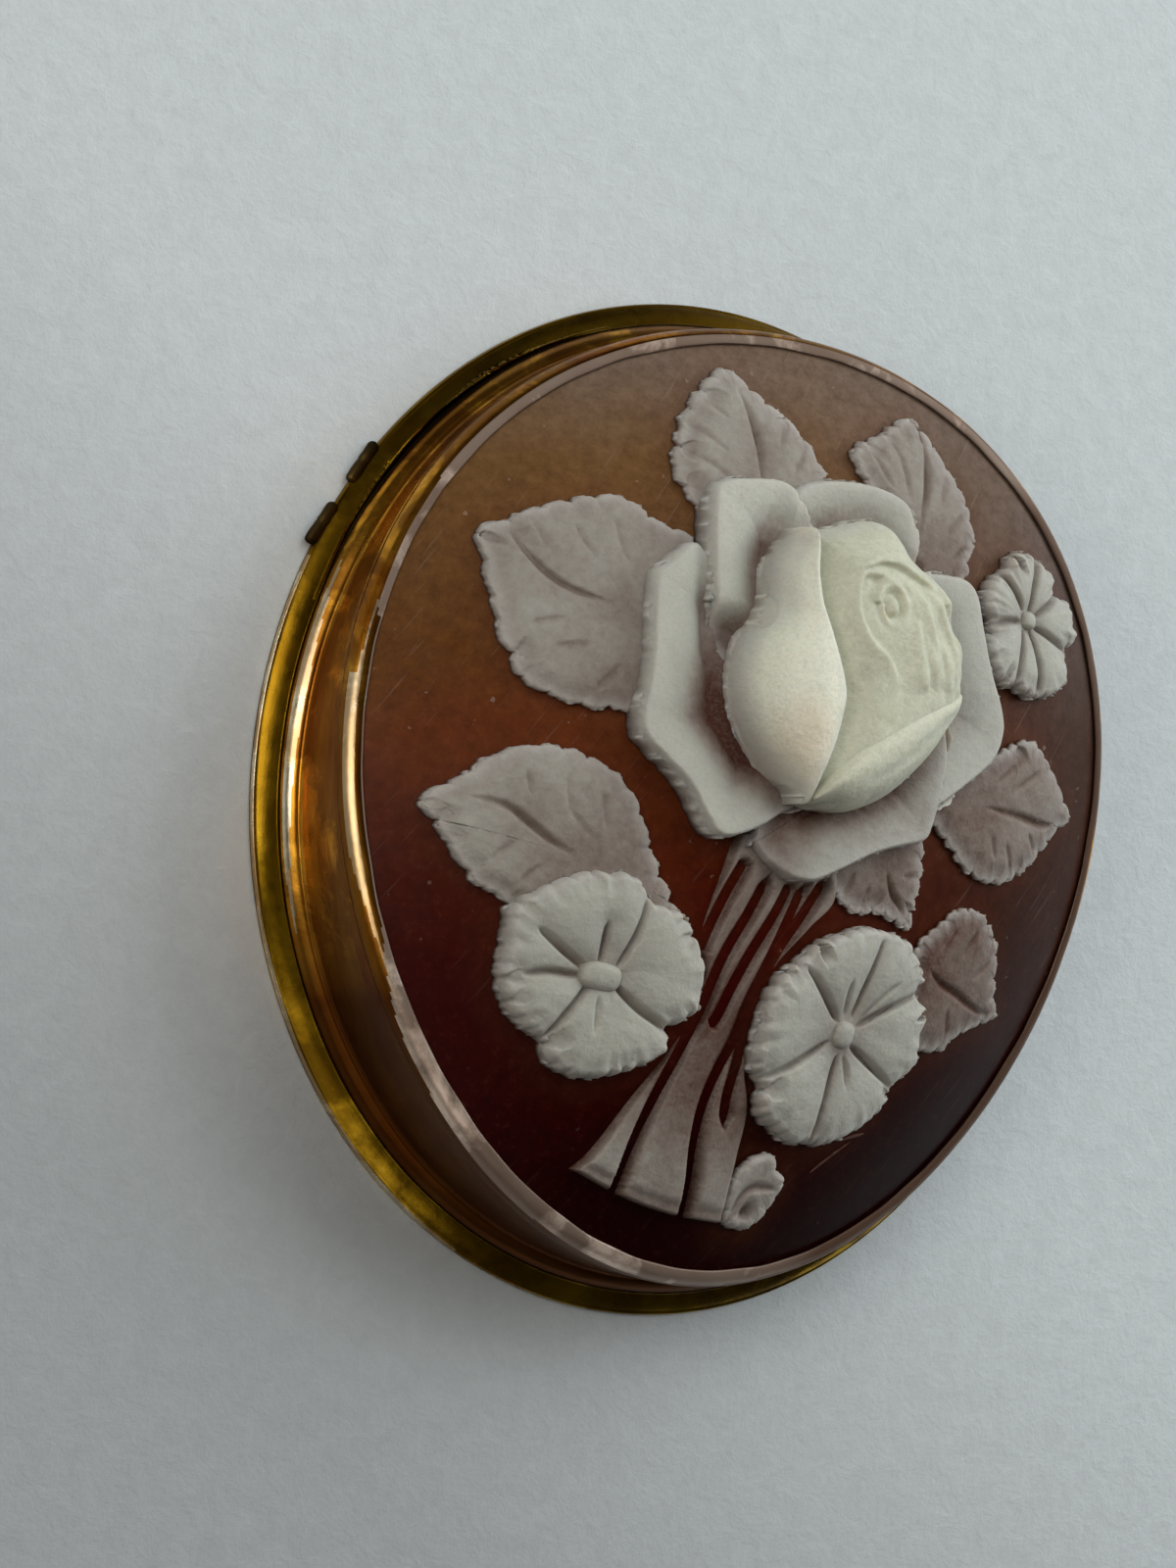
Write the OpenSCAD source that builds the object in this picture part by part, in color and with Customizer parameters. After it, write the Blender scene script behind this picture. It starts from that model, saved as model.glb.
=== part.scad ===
// Cameo pendant: a domed, nearly round shell cameo with a carved rose bouquet, held by a
// folded lip in a stepped gold setting. It lies on its back. z = 0 is the underside of the
// flange, +Z comes out of the face and +Y is the top of the bouquet.

/* [Shell] */
// Half width of the shell that shows inside the lip
half_w = 18.7; // [16:0.1:24]
// Half height of the shell that shows inside the lip
half_h = 19.9; // [16:0.1:26]
// Mean height of the lip's inner edge above the flange's underside
rim_z = 5.25; // [4.8:0.05:8]
// Rise and fall of that edge round the rim, because the shell is bent like a barrel
saddle = 1.65; // [0:0.05:1.8]
// Direction along which the shell is straightest, in degrees from +X
bend_turn = 50; // [0:5:180]
// Rise of the dome over the middle of the rim
dome_rise = 5.2; // [3:0.1:7]
// Thickness of the brown layer of the shell
ground_t = 1.4; // [1:0.1:1.6]

/* [Setting] */
// Thickness of the gold sheet
sheet_t = 0.3; // [0.25:0.05:0.4]
// How far the folded lip covers the edge of the shell
lip_cover = 0.4; // [0.3:0.05:0.8]
// Height of the lip's rounded outer face
lip_h = 0.75; // [0.5:0.05:1]
// Width of the flange in plan
flange_w = 1.3; // [0.8:0.1:3]
// Thickness of the flange's outer edge
flange_edge = 0.25; // [0.2:0.05:0.4]
// How far the flange's top slopes up towards the wall
flange_rise = 0.65; // [0.2:0.05:0.8]
// Width of the step between the flange and the wall
step_w = 0.15; // [0.1:0.05:0.3]
// Height of that step
step_h = 0.4; // [0.2:0.05:0.5]
// How far the wall is drawn in halfway up
cove = 0.12; // [0:0.02:0.2]
// Width of the ledge that carries the shell
bearer_w = 1.0; // [0.6:0.1:1.6]
// Width of the open seam where the flange has come away from the wall
seam_w = 0.4; // [0.1:0.05:0.5]
// Depth of that seam
seam_d = 0.45; // [0.2:0.05:0.6]

/* [Fittings behind] */
// Ring radius of the hanging loop, to the middle of its wire
loop_r = 1.1; // [0.9:0.1:1.3]
// Wire radius of the hanging loop
loop_wire = 0.35; // [0.25:0.05:0.4]
// Direction of the pin's hinge from the middle of the pendant
hinge_turn = 155; // [140:1:165]
// Radius of the hinge knuckles
knuckle_r = 0.55; // [0.45:0.05:0.7]
// Length of each hinge knuckle
knuckle_len = 2.1; // [1.5:0.1:3]
// Gap between the two knuckles
knuckle_gap = 1.2; // [1:0.1:2]
// How far the knuckles stand out past the flange
knuckle_out = 0.3; // [0.2:0.05:0.5]
// Radius of the pin stem
pin_r = 0.35; // [0.25:0.05:0.4]
// Height of the pin stem's middle above the back
pin_z = 0.7; // [0.6:0.05:0.8]
// Thickness of the ears on each side of the pin
ear_t = 0.5; // [0.4:0.1:0.8]
// How far the ears reach in from the setting's wall
ear_reach = 1.8; // [1.2:0.1:2.6]

/* [Carving] */
// Height of the leaves above the ground
leaf_h = 0.85; // [0.5:0.05:1.2]
// Height of the small flowers' petals above the ground
flower_h = 1.25; // [0.8:0.05:1.8]
// Height of the rose's outer petals above the ground
petal_h = 1.5; // [1:0.05:2.2]
// Height of the rose bud above the ground
bud_h = 4.0; // [3:0.1:5]
// Height of the stems above the ground
stem_h = 0.75; // [0.4:0.05:1.2]

/* [Clearances] */
// Gap between the shell and the gold
seat_gap = 0.05; // [0.03:0.01:0.1]
// Gap between the two layers of the shell
layer_gap = 0.05; // [0.03:0.01:0.1]
// Gap round the pin stem
pin_gap = 0.1; // [0.05:0.05:0.2]

/* [Hidden] */

// Stations round the oval, the same for the shell and the setting
round_n = 64;
// Rings of the dome from the middle to the edge, as shares of the shell's half size
dome_rings = [0.17, 0.34, 0.5, 0.66, 0.8, 0.92, 1];
hollow_rings = [0.25, 0.5, 0.74, 0.92, 1];
// Offsets from the lip's inner edge, outwards
wall_in = lip_cover + seat_gap;
wall_out = wall_in + sheet_t;
step_out = wall_out + step_w;
flange_out = step_out + flange_w;
// Where the open seam is widest, and how far it runs to each side
seam_turn = 140;
seam_span = 30;
// Share of the seam that shows as a fine line all round
seam_line = 0.12;
flange_top = flange_edge + flange_rise;
// The carving's solids start this far below the ground and are cut off above it
root_depth = 1.0;
// Where the rose has its middle, as shares of half_w and half_h
rose_at = [-0.02, 0.27];
// Where the rolled heart of the rose is
heart_at = [0.03, 0.43];

// Leaves. Places are shares of half_w and half_h, half widths and bow are shares of the length
// columns: base x, base y, tip x, tip y, half width left, half width right, bow
leaves = [
    [-0.12, 0.42, -0.26, 0.92, 0.34, 0.35, 0.02],
    [0.16, 0.42, 0.22, 0.92, 0.32, 0.36, -0.05],
    [-0.34, 0.24, -0.81, 0.43, 0.48, 0.50, 0.04],
    [-0.36, -0.34, -0.89, -0.18, 0.32, 0.48, 0.02],
    [0.34, 0.03, 0.86, 0.14, 0.38, 0.34, 0.02],
    [0.14, -0.01, 0.35, -0.20, 0.42, 0.40, 0.00],
    [0.40, -0.33, 0.80, -0.36, 0.56, 0.32, 0.06]
];
// Small flowers
// columns: middle x, middle y, radius as a share of half_w, petals, turn of the first petal
flowers = [
    [-0.44, -0.46, 0.245, 5, 90],
    [0.24, -0.46, 0.265, 6, 20],
    [0.59, 0.52, 0.165, 6, 0]
];
// Outer petals of the rose, the lowest first: points of each rolled edge, counter-clockwise
// columns: x, y, as shares of half_w and half_h
petal_top = [[0.24, 0.58], [0.17, 0.68], [0.08, 0.71], [-0.02, 0.70], [-0.13, 0.65], [-0.16, 0.60]];
petal_right = [[0.24, -0.02], [0.42, 0.12], [0.50, 0.22], [0.47, 0.34], [0.41, 0.46], [0.35, 0.57],
    [0.20, 0.61]];
petal_upper_left = [[-0.13, 0.62], [-0.20, 0.67], [-0.29, 0.65], [-0.345, 0.60], [-0.34, 0.47],
    [-0.33, 0.34]];
petal_bottom = [[-0.22, -0.09], [-0.10, -0.16], [0.00, -0.17], [0.10, -0.12], [0.27, -0.04],
    [0.32, 0.10]];
petal_left = [[-0.36, 0.49], [-0.48, 0.41], [-0.49, 0.24], [-0.48, 0.07], [-0.37, -0.04],
    [-0.26, -0.13], [-0.13, -0.07], [-0.06, -0.02]];
// columns: the petal's edge, its height as a share of petal_h
outer_petals = [
    [petal_top, 0.80],
    [petal_right, 0.85],
    [petal_upper_left, 1.05],
    [petal_bottom, 0.90],
    [petal_left, 1.00]
];
// Sections across the bud, from its foot to its top, as shares of half_w and half_h
// columns: y, left edge, edge of the big left petal, right edge, height as a share of bud_h
bud_sections = [
    [-0.02, -0.11, -0.09, -0.03, 0.50],
    [0.02, -0.18, -0.09, 0.09, 0.74],
    [0.08, -0.265, -0.085, 0.18, 0.88],
    [0.15, -0.295, -0.08, 0.225, 0.96],
    [0.22, -0.305, -0.08, 0.26, 1.00],
    [0.30, -0.30, -0.10, 0.29, 1.00],
    [0.38, -0.265, -0.125, 0.285, 0.98],
    [0.46, -0.245, -0.145, 0.25, 0.94],
    [0.53, -0.215, -0.155, 0.185, 0.88],
    [0.58, -0.14, -0.12, 0.11, 0.78]
];
// The same across its width, from the right edge to the left one
// columns: share of the way from the right edge to the petal's edge, height
bud_right_half = [[0, 0.44], [0.08, 0.68], [0.30, 0.90], [0.65, 0.88], [0.96, 0.72]];
// columns: share of the way from the petal's edge to the left edge, height
bud_left_half = [[0, 1.00], [0.22, 1.00], [0.55, 0.90], [0.85, 0.68], [1, 0.44]];
// Petals that lie over the bud, from one end to the other
// columns: free edge x, free edge y, rooted edge x, rooted edge y
low_petal = [
    [0.22, 0.30, 0.31, 0.30],
    [0.15, 0.21, 0.27, 0.21],
    [0.08, 0.13, 0.21, 0.12],
    [0.01, 0.07, 0.13, 0.03],
    [-0.05, 0.02, 0.04, -0.01],
    [-0.08, -0.01, -0.04, -0.03]
];
high_petal = [
    [0.30, 0.34, 0.18, 0.33],
    [0.28, 0.42, 0.15, 0.40],
    [0.23, 0.49, 0.12, 0.47],
    [0.15, 0.56, 0.07, 0.52],
    [0.06, 0.61, 0.01, 0.54],
    [-0.03, 0.61, -0.05, 0.54],
    [-0.11, 0.57, -0.12, 0.51]
];
// Stems, each through a top, a waist and a foot, in shares of half_w and half_h
// columns: top x, waist x, foot x, foot y, half width at the top, half width at the foot
stems = [
    [-0.19, -0.22, -0.30, -0.86, 0.030, 0.060],
    [-0.115, -0.16, -0.13, -0.885, 0.026, 0.080],
    [-0.045, -0.10, -0.08, -0.89, 0.026, 0.040],
    [0.02, -0.06, 0.03, -0.90, 0.026, 0.035],
    [0.09, -0.01, 0.06, -0.88, 0.024, 0.030]
];
stem_top_y = -0.08;
stem_waist_y = -0.50;

function at(place) = [place.x * half_w, place.y * half_h];
// Plan point of a station, pushed out from the lip's inner edge
function station(turn, out) = [(half_w + out) * cos(turn), (half_h + out) * sin(turn)];
// Height of the domed ground over a plan point
function ground(p) =
    let (s = p.x / half_w, t = p.y / half_h)
    rim_z + dome_rise * (1 - s * s - t * t)
    + saddle * ((s * s - t * t) * cos(2 * bend_turn) + 2 * s * t * sin(2 * bend_turn));
// Smooth bump that is 1 at the middle of a span and 0 at its ends
function bump(away, span) = abs(away) >= span ? 0 : (1 + cos(180 * away / span)) / 2;
function over(p, h) = [p.x, p.y, ground(p) + h];
// The short way between two directions
function away(a, b) = (a - b + 540) % 360 - 180;

// Skin over rings of n points each, with both end rings closed
function skin_faces(rings, n) = concat(
    [for (i = [0:rings - 2], j = [0:n - 1], half = [0, 1])
        half == 0
            ? [i * n + j, i * n + (j + 1) % n, (i + 1) * n + (j + 1) % n]
            : [i * n + j, (i + 1) * n + (j + 1) % n, (i + 1) * n + j]],
    [[for (j = [n - 1:-1:0]) j], [for (j = [0:n - 1]) (rings - 1) * n + j]]
);
module skin(rings) {
    polyhedron(
        points = [for (ring = rings) each ring],
        faces = skin_faces(len(rings), len(rings[0])),
        convexity = 6
    );
}

// Closed body over rings of n points that narrow to one point at each end
function shell_faces(rings, n) = concat(
    [for (j = [0:n - 1]) [0, 1 + (j + 1) % n, 1 + j]],
    [for (i = [0:rings - 2], j = [0:n - 1], half = [0, 1])
        let (a = 1 + i * n, b = a + n, k = (j + 1) % n)
        half == 0 ? [a + j, a + k, b + k] : [a + j, b + k, b + j]],
    [for (j = [0:n - 1]) [1 + rings * n, 1 + (rings - 1) * n + j, 1 + (rings - 1) * n + (j + 1) % n]]
);
module closed_shell(first, rings, last) {
    polyhedron(
        points = concat([first], [for (ring = rings) each ring], [last]),
        faces = shell_faces(len(rings), len(rings[0])),
        convexity = 6
    );
}

// Strip across a carved piece: its top points, and two root points below its two ends
function strip(tops) = concat(
    [for (top = tops) top],
    [for (end = [tops[len(tops) - 1], tops[0]])
        [end.x, end.y, ground(end) - root_depth]]
);

// Gold setting

// Section of the setting at a station, as offset outwards and height
function setting_section(turn) =
    let (
        open = seam_line + (1 - seam_line) * bump(away(turn, seam_turn), seam_span),
        edge_z = ground(station(turn, 0)),
        wall_top = edge_z - lip_h,
        step_top = flange_top + step_h,
        under_out = ground(station(turn, wall_in)),
        carry_out = under_out - ground_t - seat_gap,
        carry_in = ground(station(turn, -bearer_w)) - ground_t - seat_gap
    )
    [
        [flange_out, 0],
        [flange_out, flange_edge],
        [flange_out - 0.35 * flange_w, flange_edge + 0.6 * flange_rise],
        [step_out + seam_w * open, flange_top],
        [step_out + seam_w * open / 2, flange_top - seam_d * open],
        [step_out, flange_top],
        [step_out, step_top - step_w / 2],
        [wall_out, step_top],
        [wall_out - cove, (step_top + wall_top) / 2],
        [wall_out, wall_top],
        [wall_out, wall_top + lip_h / 2],
        [wall_in + sheet_t / 2, edge_z - lip_h * 0.1],
        [lip_cover / 2, edge_z + seat_gap + sheet_t * 0.55],
        [0, edge_z + seat_gap + sheet_t * 0.4],
        [0, edge_z + seat_gap],
        [wall_in, under_out + seat_gap],
        [wall_in, carry_out],
        [-bearer_w, carry_in],
        [-bearer_w, carry_in - sheet_t],
        [wall_in, carry_out - sheet_t],
        [wall_in, 0]
    ];

// The section swept round the oval as one closed ring of gold
module setting_ring() {
    sections = [for (i = [0:round_n - 1])
        let (turn = 360 * i / round_n)
        [for (q = setting_section(turn)) concat(station(turn, q[0]), q[1])]];
    n = len(sections[0]);
    polyhedron(
        points = [for (section = sections) each section],
        faces = [for (i = [0:round_n - 1], j = [0:n - 1], half = [0, 1])
            let (a = i * n, b = (i + 1) % round_n * n, k = (j + 1) % n)
            half == 0 ? [a + j, a + k, b + k] : [a + j, b + k, b + j]],
        convexity = 10
    );
}

// Wire loop for a chain, standing on the inside of the wall at the top
module hanging_loop() {
    steps = 16;
    translate([0, half_h + wall_in - loop_r + loop_wire / 2, loop_r + loop_wire])
        for (i = [0:steps - 1])
            hull()
                for (k = [i, i + 1])
                    rotate([360 * k / steps, 0, 0])
                        translate([0, loop_r, 0])
                            cylinder(r = loop_wire, h = loop_wire / 4, center = true, $fn = 8);
}

// Two knuckles of the hinge, rounded at their ends, on the flange's outer edge
module hinge_knuckles() {
    middle = station(hinge_turn, flange_out + knuckle_out - knuckle_r);
    along = (knuckle_gap + knuckle_len) / 2;
    for (side = [-1, 1])
        translate([middle.x, middle.y, knuckle_r])
            rotate([0, 0, hinge_turn])
                hull()
                    for (end = [-1, 1])
                        translate([0, side * along + end * (knuckle_len / 2 - knuckle_r / 3), 0])
                            rotate([90, 0, 0])
                                cylinder(r = knuckle_r, h = knuckle_r / 2, center = true, $fn = 12);
}

// A pair of ears inside the wall that holds one end of the pin
module pin_ears(turn) {
    wide = 2 * (pin_r + pin_gap + ear_t);
    high = pin_z + pin_r + pin_gap + ear_t / 2;
    rotate([0, 0, turn])
        translate([norm(station(turn, wall_in)) - ear_reach, -wide / 2, 0])
            cube([ear_reach + sheet_t, wide, high]);
}

// Room for the pin stem between the ears, open towards the back
module pin_room() {
    reach = norm(station(hinge_turn, 0)) + pin_gap;
    half = pin_r + pin_gap;
    rotate([0, 0, hinge_turn]) {
        translate([-reach, 0, pin_z]) rotate([0, 90, 0])
            cylinder(r = half, h = 2 * reach, $fn = 24);
        translate([-reach, -half, -pin_z]) cube([2 * reach, 2 * half, 2 * pin_z]);
    }
}

module mount() {
    color([0.72, 0.53, 0.22])
        difference() {
            union() {
                setting_ring();
                hanging_loop();
                hinge_knuckles();
                pin_ears(hinge_turn);
                pin_ears(hinge_turn + 180);
            }
            pin_room();
        }
}

// Shell

// Plan point on a ring of the shell, which reaches under the lip
function shell_point(turn, share) = share * station(turn, lip_cover);
function shell_ring(share, drop) = [for (i = [0:round_n - 1])
    over(shell_point(360 * i / round_n, share), -drop)];

module shell_ground() {
    color([0.42, 0.19, 0.08])
        closed_shell(
            over([0, 0], 0),
            concat(
                [for (share = dome_rings) shell_ring(share, 0)],
                [for (i = [len(hollow_rings) - 1:-1:0]) shell_ring(hollow_rings[i], ground_t)]
            ),
            over([0, 0], -ground_t)
        );
}

// Everything below the foot of the carving
module below_carving() {
    closed_shell(
        over([0, 0], layer_gap),
        concat(
            [for (share = dome_rings) shell_ring(share, -layer_gap)],
            [[for (i = [0:round_n - 1]) concat(shell_point(360 * i / round_n, 1), -rim_z)]]
        ),
        [0, 0, -rim_z]
    );
}

// Carving

// Half width of a leaf along its length, with a notch at every second row
function leaf_width(u, row) =
    (0.10 + 0.90 * pow(max(0, sin(180 * pow(u, 0.85))), 0.65)) * (row % 2 == 0 ? 1 : 0.88);

module leaf(row) {
    base = at([row[0], row[1]]);
    tip = at([row[2], row[3]]);
    run = tip - base;
    side = [-run.y, run.x];
    rows = 15;
    across = [-1, -0.55, 0, 0.55, 1];
    // Shares of leaf_h over the leaf's width: thin edges, full halves, a sunk midrib
    swell = [0.55, 1.0, 0.62, 1.0, 0.55];
    skin([for (i = [0:rows - 1])
        let (
            u = i / (rows - 1),
            w = leaf_width(u, i),
            middle = base + run * u + side * row[6] * sin(180 * u)
        )
        strip([for (k = [0:len(across) - 1])
            let (
                v = across[k],
                half = v < 0 ? row[5] : row[4],
                p = middle + side * v * w * half
            )
            over(p, leaf_h * swell[k] * (0.85 + 0.15 * cos(180 * u)))])]);
}

// Share of a small flower's radius at a direction, one lobe for each petal
function lobe(turn, petals, first) =
    let (half = 180 / petals, off = abs(away(turn, first) % (2 * half)), k = min(off, 2 * half - off) / half)
    0.97 - 0.17 * pow(k, 3);

module flower(row) {
    middle = at([row[0], row[1]]);
    reach = row[2] * half_w;
    sides = row[3] * 6;
    // Rings of a petal from the button out: share of the reach, share of flower_h, depth of crease
    rings = [[0.22, 0.62, 0.05], [0.50, 0.98, 0.30], [0.80, 1.06, 0.35], [1.0, 0.70, 0.10]];
    closed_shell(
        over(middle, flower_h * 0.6),
        concat(
            [for (ring = rings) [for (j = [0:sides - 1])
                let (
                    turn = 360 * j / sides,
                    edge = lobe(turn, row[3], row[4]),
                    crease = (0.97 - edge) / 0.17,
                    p = middle + reach * ring[0] * (ring[0] < 0.5 ? 0.9 : edge) * [cos(turn), sin(turn)]
                )
                over(p, flower_h * (ring[1] - ring[2] * crease))]],
            [[for (j = [0:sides - 1])
                let (turn = 360 * j / sides)
                over(middle + reach * lobe(turn, row[3], row[4]) * [cos(turn), sin(turn)], -root_depth)]]
        ),
        over(middle, -root_depth)
    );
    button(middle, reach * 0.19);
}

// Round button in the middle of a flower
module button(middle, r) {
    z = ground(middle) + flower_h * 0.95;
    hull() {
        translate([middle.x, middle.y, z]) cylinder(r = r * 0.7, h = r * 0.5, $fn = 10);
        translate([middle.x, middle.y, z - flower_h * 0.6]) cylinder(r = r, h = flower_h * 0.6, $fn = 10);
    }
}

// Point at a share of the way along a smooth line through chosen points
function along(points, share) =
    let (
        last = len(points) - 1,
        x = min(share * last, last - 0.001),
        i = floor(x),
        f = x - i,
        a = points[max(i - 1, 0)],
        b = points[i],
        c = points[i + 1],
        d = points[min(i + 2, last)]
    )
    (2 * b + (c - a) * f + (2 * a - 5 * b + 4 * c - d) * f * f + (3 * b - a - 3 * c + d) * f * f * f) / 2;

// One outer petal of the rose, rolled along its edge and sunk towards the bud
module outer_petal(row) {
    middle = at(rose_at);
    rows = 2 * len(row[0]) + 1;
    // Shares of the reach and of the petal's height, from the rolled edge inwards
    profile = [[1.0, 0.72], [0.97, 1.0], [0.90, 0.98], [0.78, 0.70], [0.62, 0.95], [0.35, 1.4]];
    skin([for (i = [0:rows - 1])
        let (
            k = 2 * i / (rows - 1) - 1,
            reach = at(along(row[0], i / (rows - 1))) - middle,
            dip = 1 - 0.25 * pow(abs(k), 4)
        )
        strip([for (q = profile) over(middle + q[0] * reach, petal_h * row[1] * q[1] * dip)])]);
}

// The bud, with the big left petal standing over the valley beside its edge
module bud_body() {
    rows = 19;
    skin([for (i = [0:rows - 1])
        let (row = along(bud_sections, i / (rows - 1)))
        strip(concat(
            [for (q = bud_right_half)
                over(at([row[3] + (row[2] - row[3]) * q[0], row[0]]), bud_h * row[4] * q[1])],
            [for (q = bud_left_half)
                over(at([row[2] + (row[1] - row[2]) * q[0], row[0]]), bud_h * row[4] * q[1])]
        ))]);
}

// A petal lying over the bud, with its four heights across from column 1 to column 3
module bud_petal(rows, heights) {
    count = 2 * len(rows);
    skin([for (i = [0:count - 1])
        let (
            row = along(rows, i / (count - 1)),
            from = at([row[0], row[1]]),
            to = at([row[2], row[3]]),
            taper = 0.88 + 0.12 * sin(180 * i / (count - 1))
        )
        strip([for (k = [0:3]) over(from + (to - from) * k / 3, bud_h * heights[k] * taper)])]);
}

// The rolled heart of the rose: a turn and a half of petal edge
module heart() {
    middle = at(heart_at);
    wall = 0.017 * half_w;
    steps = 12;
    for (i = [0:steps - 1])
        hull()
            for (k = [i, i + 1]) {
                turn = 60 + 540 * k / steps;
                r = half_w * (0.025 + 0.085 * k / steps);
                p = middle + r * [cos(turn), sin(turn)];
                translate([p.x, p.y, ground(p) + bud_h * (0.97 - 0.12 * k / steps)])
                    cylinder(r1 = 1.6 * wall, r2 = 0.6 * wall, h = bud_h * 0.22, center = true, $fn = 6);
            }
}

module rose() {
    for (row = outer_petals) outer_petal(row);
    bud_body();
    bud_petal(low_petal, [0.97, 0.98, 0.80, 0.46]);
    bud_petal(high_petal, [0.62, 0.98, 1.00, 0.90]);
    heart();
}

// A cut stem, half round, spread at its foot
module stem(row) {
    rows = 10;
    across = [-1, -0.6, 0, 0.6, 1];
    swell = [0.35, 0.85, 1.0, 0.85, 0.35];
    skin([for (i = [0:rows - 1])
        let (
            u = i / (rows - 1),
            waist = (stem_top_y - stem_waist_y) / (stem_top_y - row[3]),
            x = u < waist
                ? row[0] + (row[1] - row[0]) * sin(90 * u / waist)
                : row[1] + (row[2] - row[1]) * (1 - cos(90 * (u - waist) / (1 - waist))),
            y = stem_top_y + (row[3] - stem_top_y) * u,
            half = row[4] + (row[5] - row[4]) * pow(u, 3)
        )
        strip([for (k = [0:len(across) - 1])
            over(at([x + across[k] * half, y]), stem_h * swell[k])])]);
}

// Small bud beside the stems' feet
module low_bud() {
    leaf([0.10, -0.89, 0.20, -0.72, 0.30, 0.30, 0.0]);
}

module carved_relief() {
    color([0.88, 0.86, 0.80])
        difference() {
            union() {
                for (row = leaves) leaf(row);
                for (row = flowers) flower(row);
                for (row = stems) stem(row);
                low_bud();
                rose();
            }
            below_carving();
        }
}

// Plain pin stem across the hollow back, pointed at the catch
module brooch_pin() {
    reach = norm(station(hinge_turn, 0));
    point = 3;
    color([0.70, 0.58, 0.35])
        rotate([0, 0, hinge_turn + 180])
            translate([-reach, 0, pin_z])
                rotate([0, 90, 0]) {
                    cylinder(r = pin_r, h = 2 * reach - point, $fn = 24);
                    translate([0, 0, 2 * reach - point])
                        cylinder(r1 = pin_r, r2 = pin_r / 3, h = point, $fn = 24);
                }
}

mount();
shell_ground();
carved_relief();
brooch_pin();
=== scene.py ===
"""Cameo pendant: the finished shell carving and gold setting, built round the fixed CAD frame.

Lengths are in millimetres until a mesh is made. Plan places are shares of the shell's half width
and half height, as they are in the part's own source.
"""

import math

import bpy
import numpy as np
from mathutils import Matrix, Vector


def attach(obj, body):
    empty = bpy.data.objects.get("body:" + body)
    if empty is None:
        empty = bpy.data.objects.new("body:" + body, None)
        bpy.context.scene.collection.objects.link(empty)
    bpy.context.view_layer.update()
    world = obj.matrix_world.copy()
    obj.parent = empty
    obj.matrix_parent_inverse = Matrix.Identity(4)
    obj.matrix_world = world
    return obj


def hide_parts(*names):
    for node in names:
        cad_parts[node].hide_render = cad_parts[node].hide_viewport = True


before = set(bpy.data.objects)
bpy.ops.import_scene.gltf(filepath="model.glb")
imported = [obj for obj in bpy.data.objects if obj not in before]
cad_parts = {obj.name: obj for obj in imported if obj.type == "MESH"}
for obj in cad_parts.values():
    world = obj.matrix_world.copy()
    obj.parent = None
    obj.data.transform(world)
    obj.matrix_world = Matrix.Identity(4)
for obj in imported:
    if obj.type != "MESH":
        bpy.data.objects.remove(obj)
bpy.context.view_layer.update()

MM = 0.001
BODY = "root"
BLACK, WHITE = (0, 0, 0), (1, 1, 1)

# The shell, as in the part's source
HALF_W = 18.7
HALF_H = 19.9
RIM_Z = 5.25
SADDLE = 1.65
BEND_TURN = math.radians(50)
DOME_RISE = 5.2
GROUND_T = 1.4

# The setting, as in the part's source
SHEET_T = 0.3
LIP_COVER = 0.4
LIP_H = 0.75
FLANGE_W = 1.3
FLANGE_EDGE = 0.25
FLANGE_RISE = 0.65
STEP_W = 0.15
STEP_H = 0.4
COVE = 0.12
BEAD_W = 0.30
BEAD_TOP = 0.15
BEARER_W = 1.0
SEAM_W = 0.4
SEAM_D = 0.45
SEAM_TURN = 140
SEAM_SPAN = 30
SEAM_LINE = 0.12
SEAT_GAP = 0.05
WALL_IN = LIP_COVER + SEAT_GAP
WALL_OUT = WALL_IN + SHEET_T
STEP_OUT = WALL_OUT + STEP_W
FLANGE_OUT = STEP_OUT + FLANGE_W
FLANGE_TOP = FLANGE_EDGE + FLANGE_RISE

# The fittings behind, as in the part's source
LOOP_R = 1.1
LOOP_WIRE = 0.35
HINGE_TURN = 155
KNUCKLE_R = 0.55
KNUCKLE_LEN = 2.1
KNUCKLE_GAP = 1.2
KNUCKLE_OUT = 0.3
PIN_R = 0.35
PIN_Z = 0.7
PIN_GAP = 0.1
EAR_T = 0.5
EAR_REACH = 1.8

# Heights of the carving over the brown ground, as in the part's source
LEAF_H = 0.85
FLOWER_H = 1.25
PETAL_H = 1.5
BUD_H = 4.0
STEM_H = 0.75

# How far each carved piece is sunk into the ground, so that no slit shows under it
SUNK = 0.1

# Outlines of the carved pieces, seen from above, as shares of HALF_W and HALF_H

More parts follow.
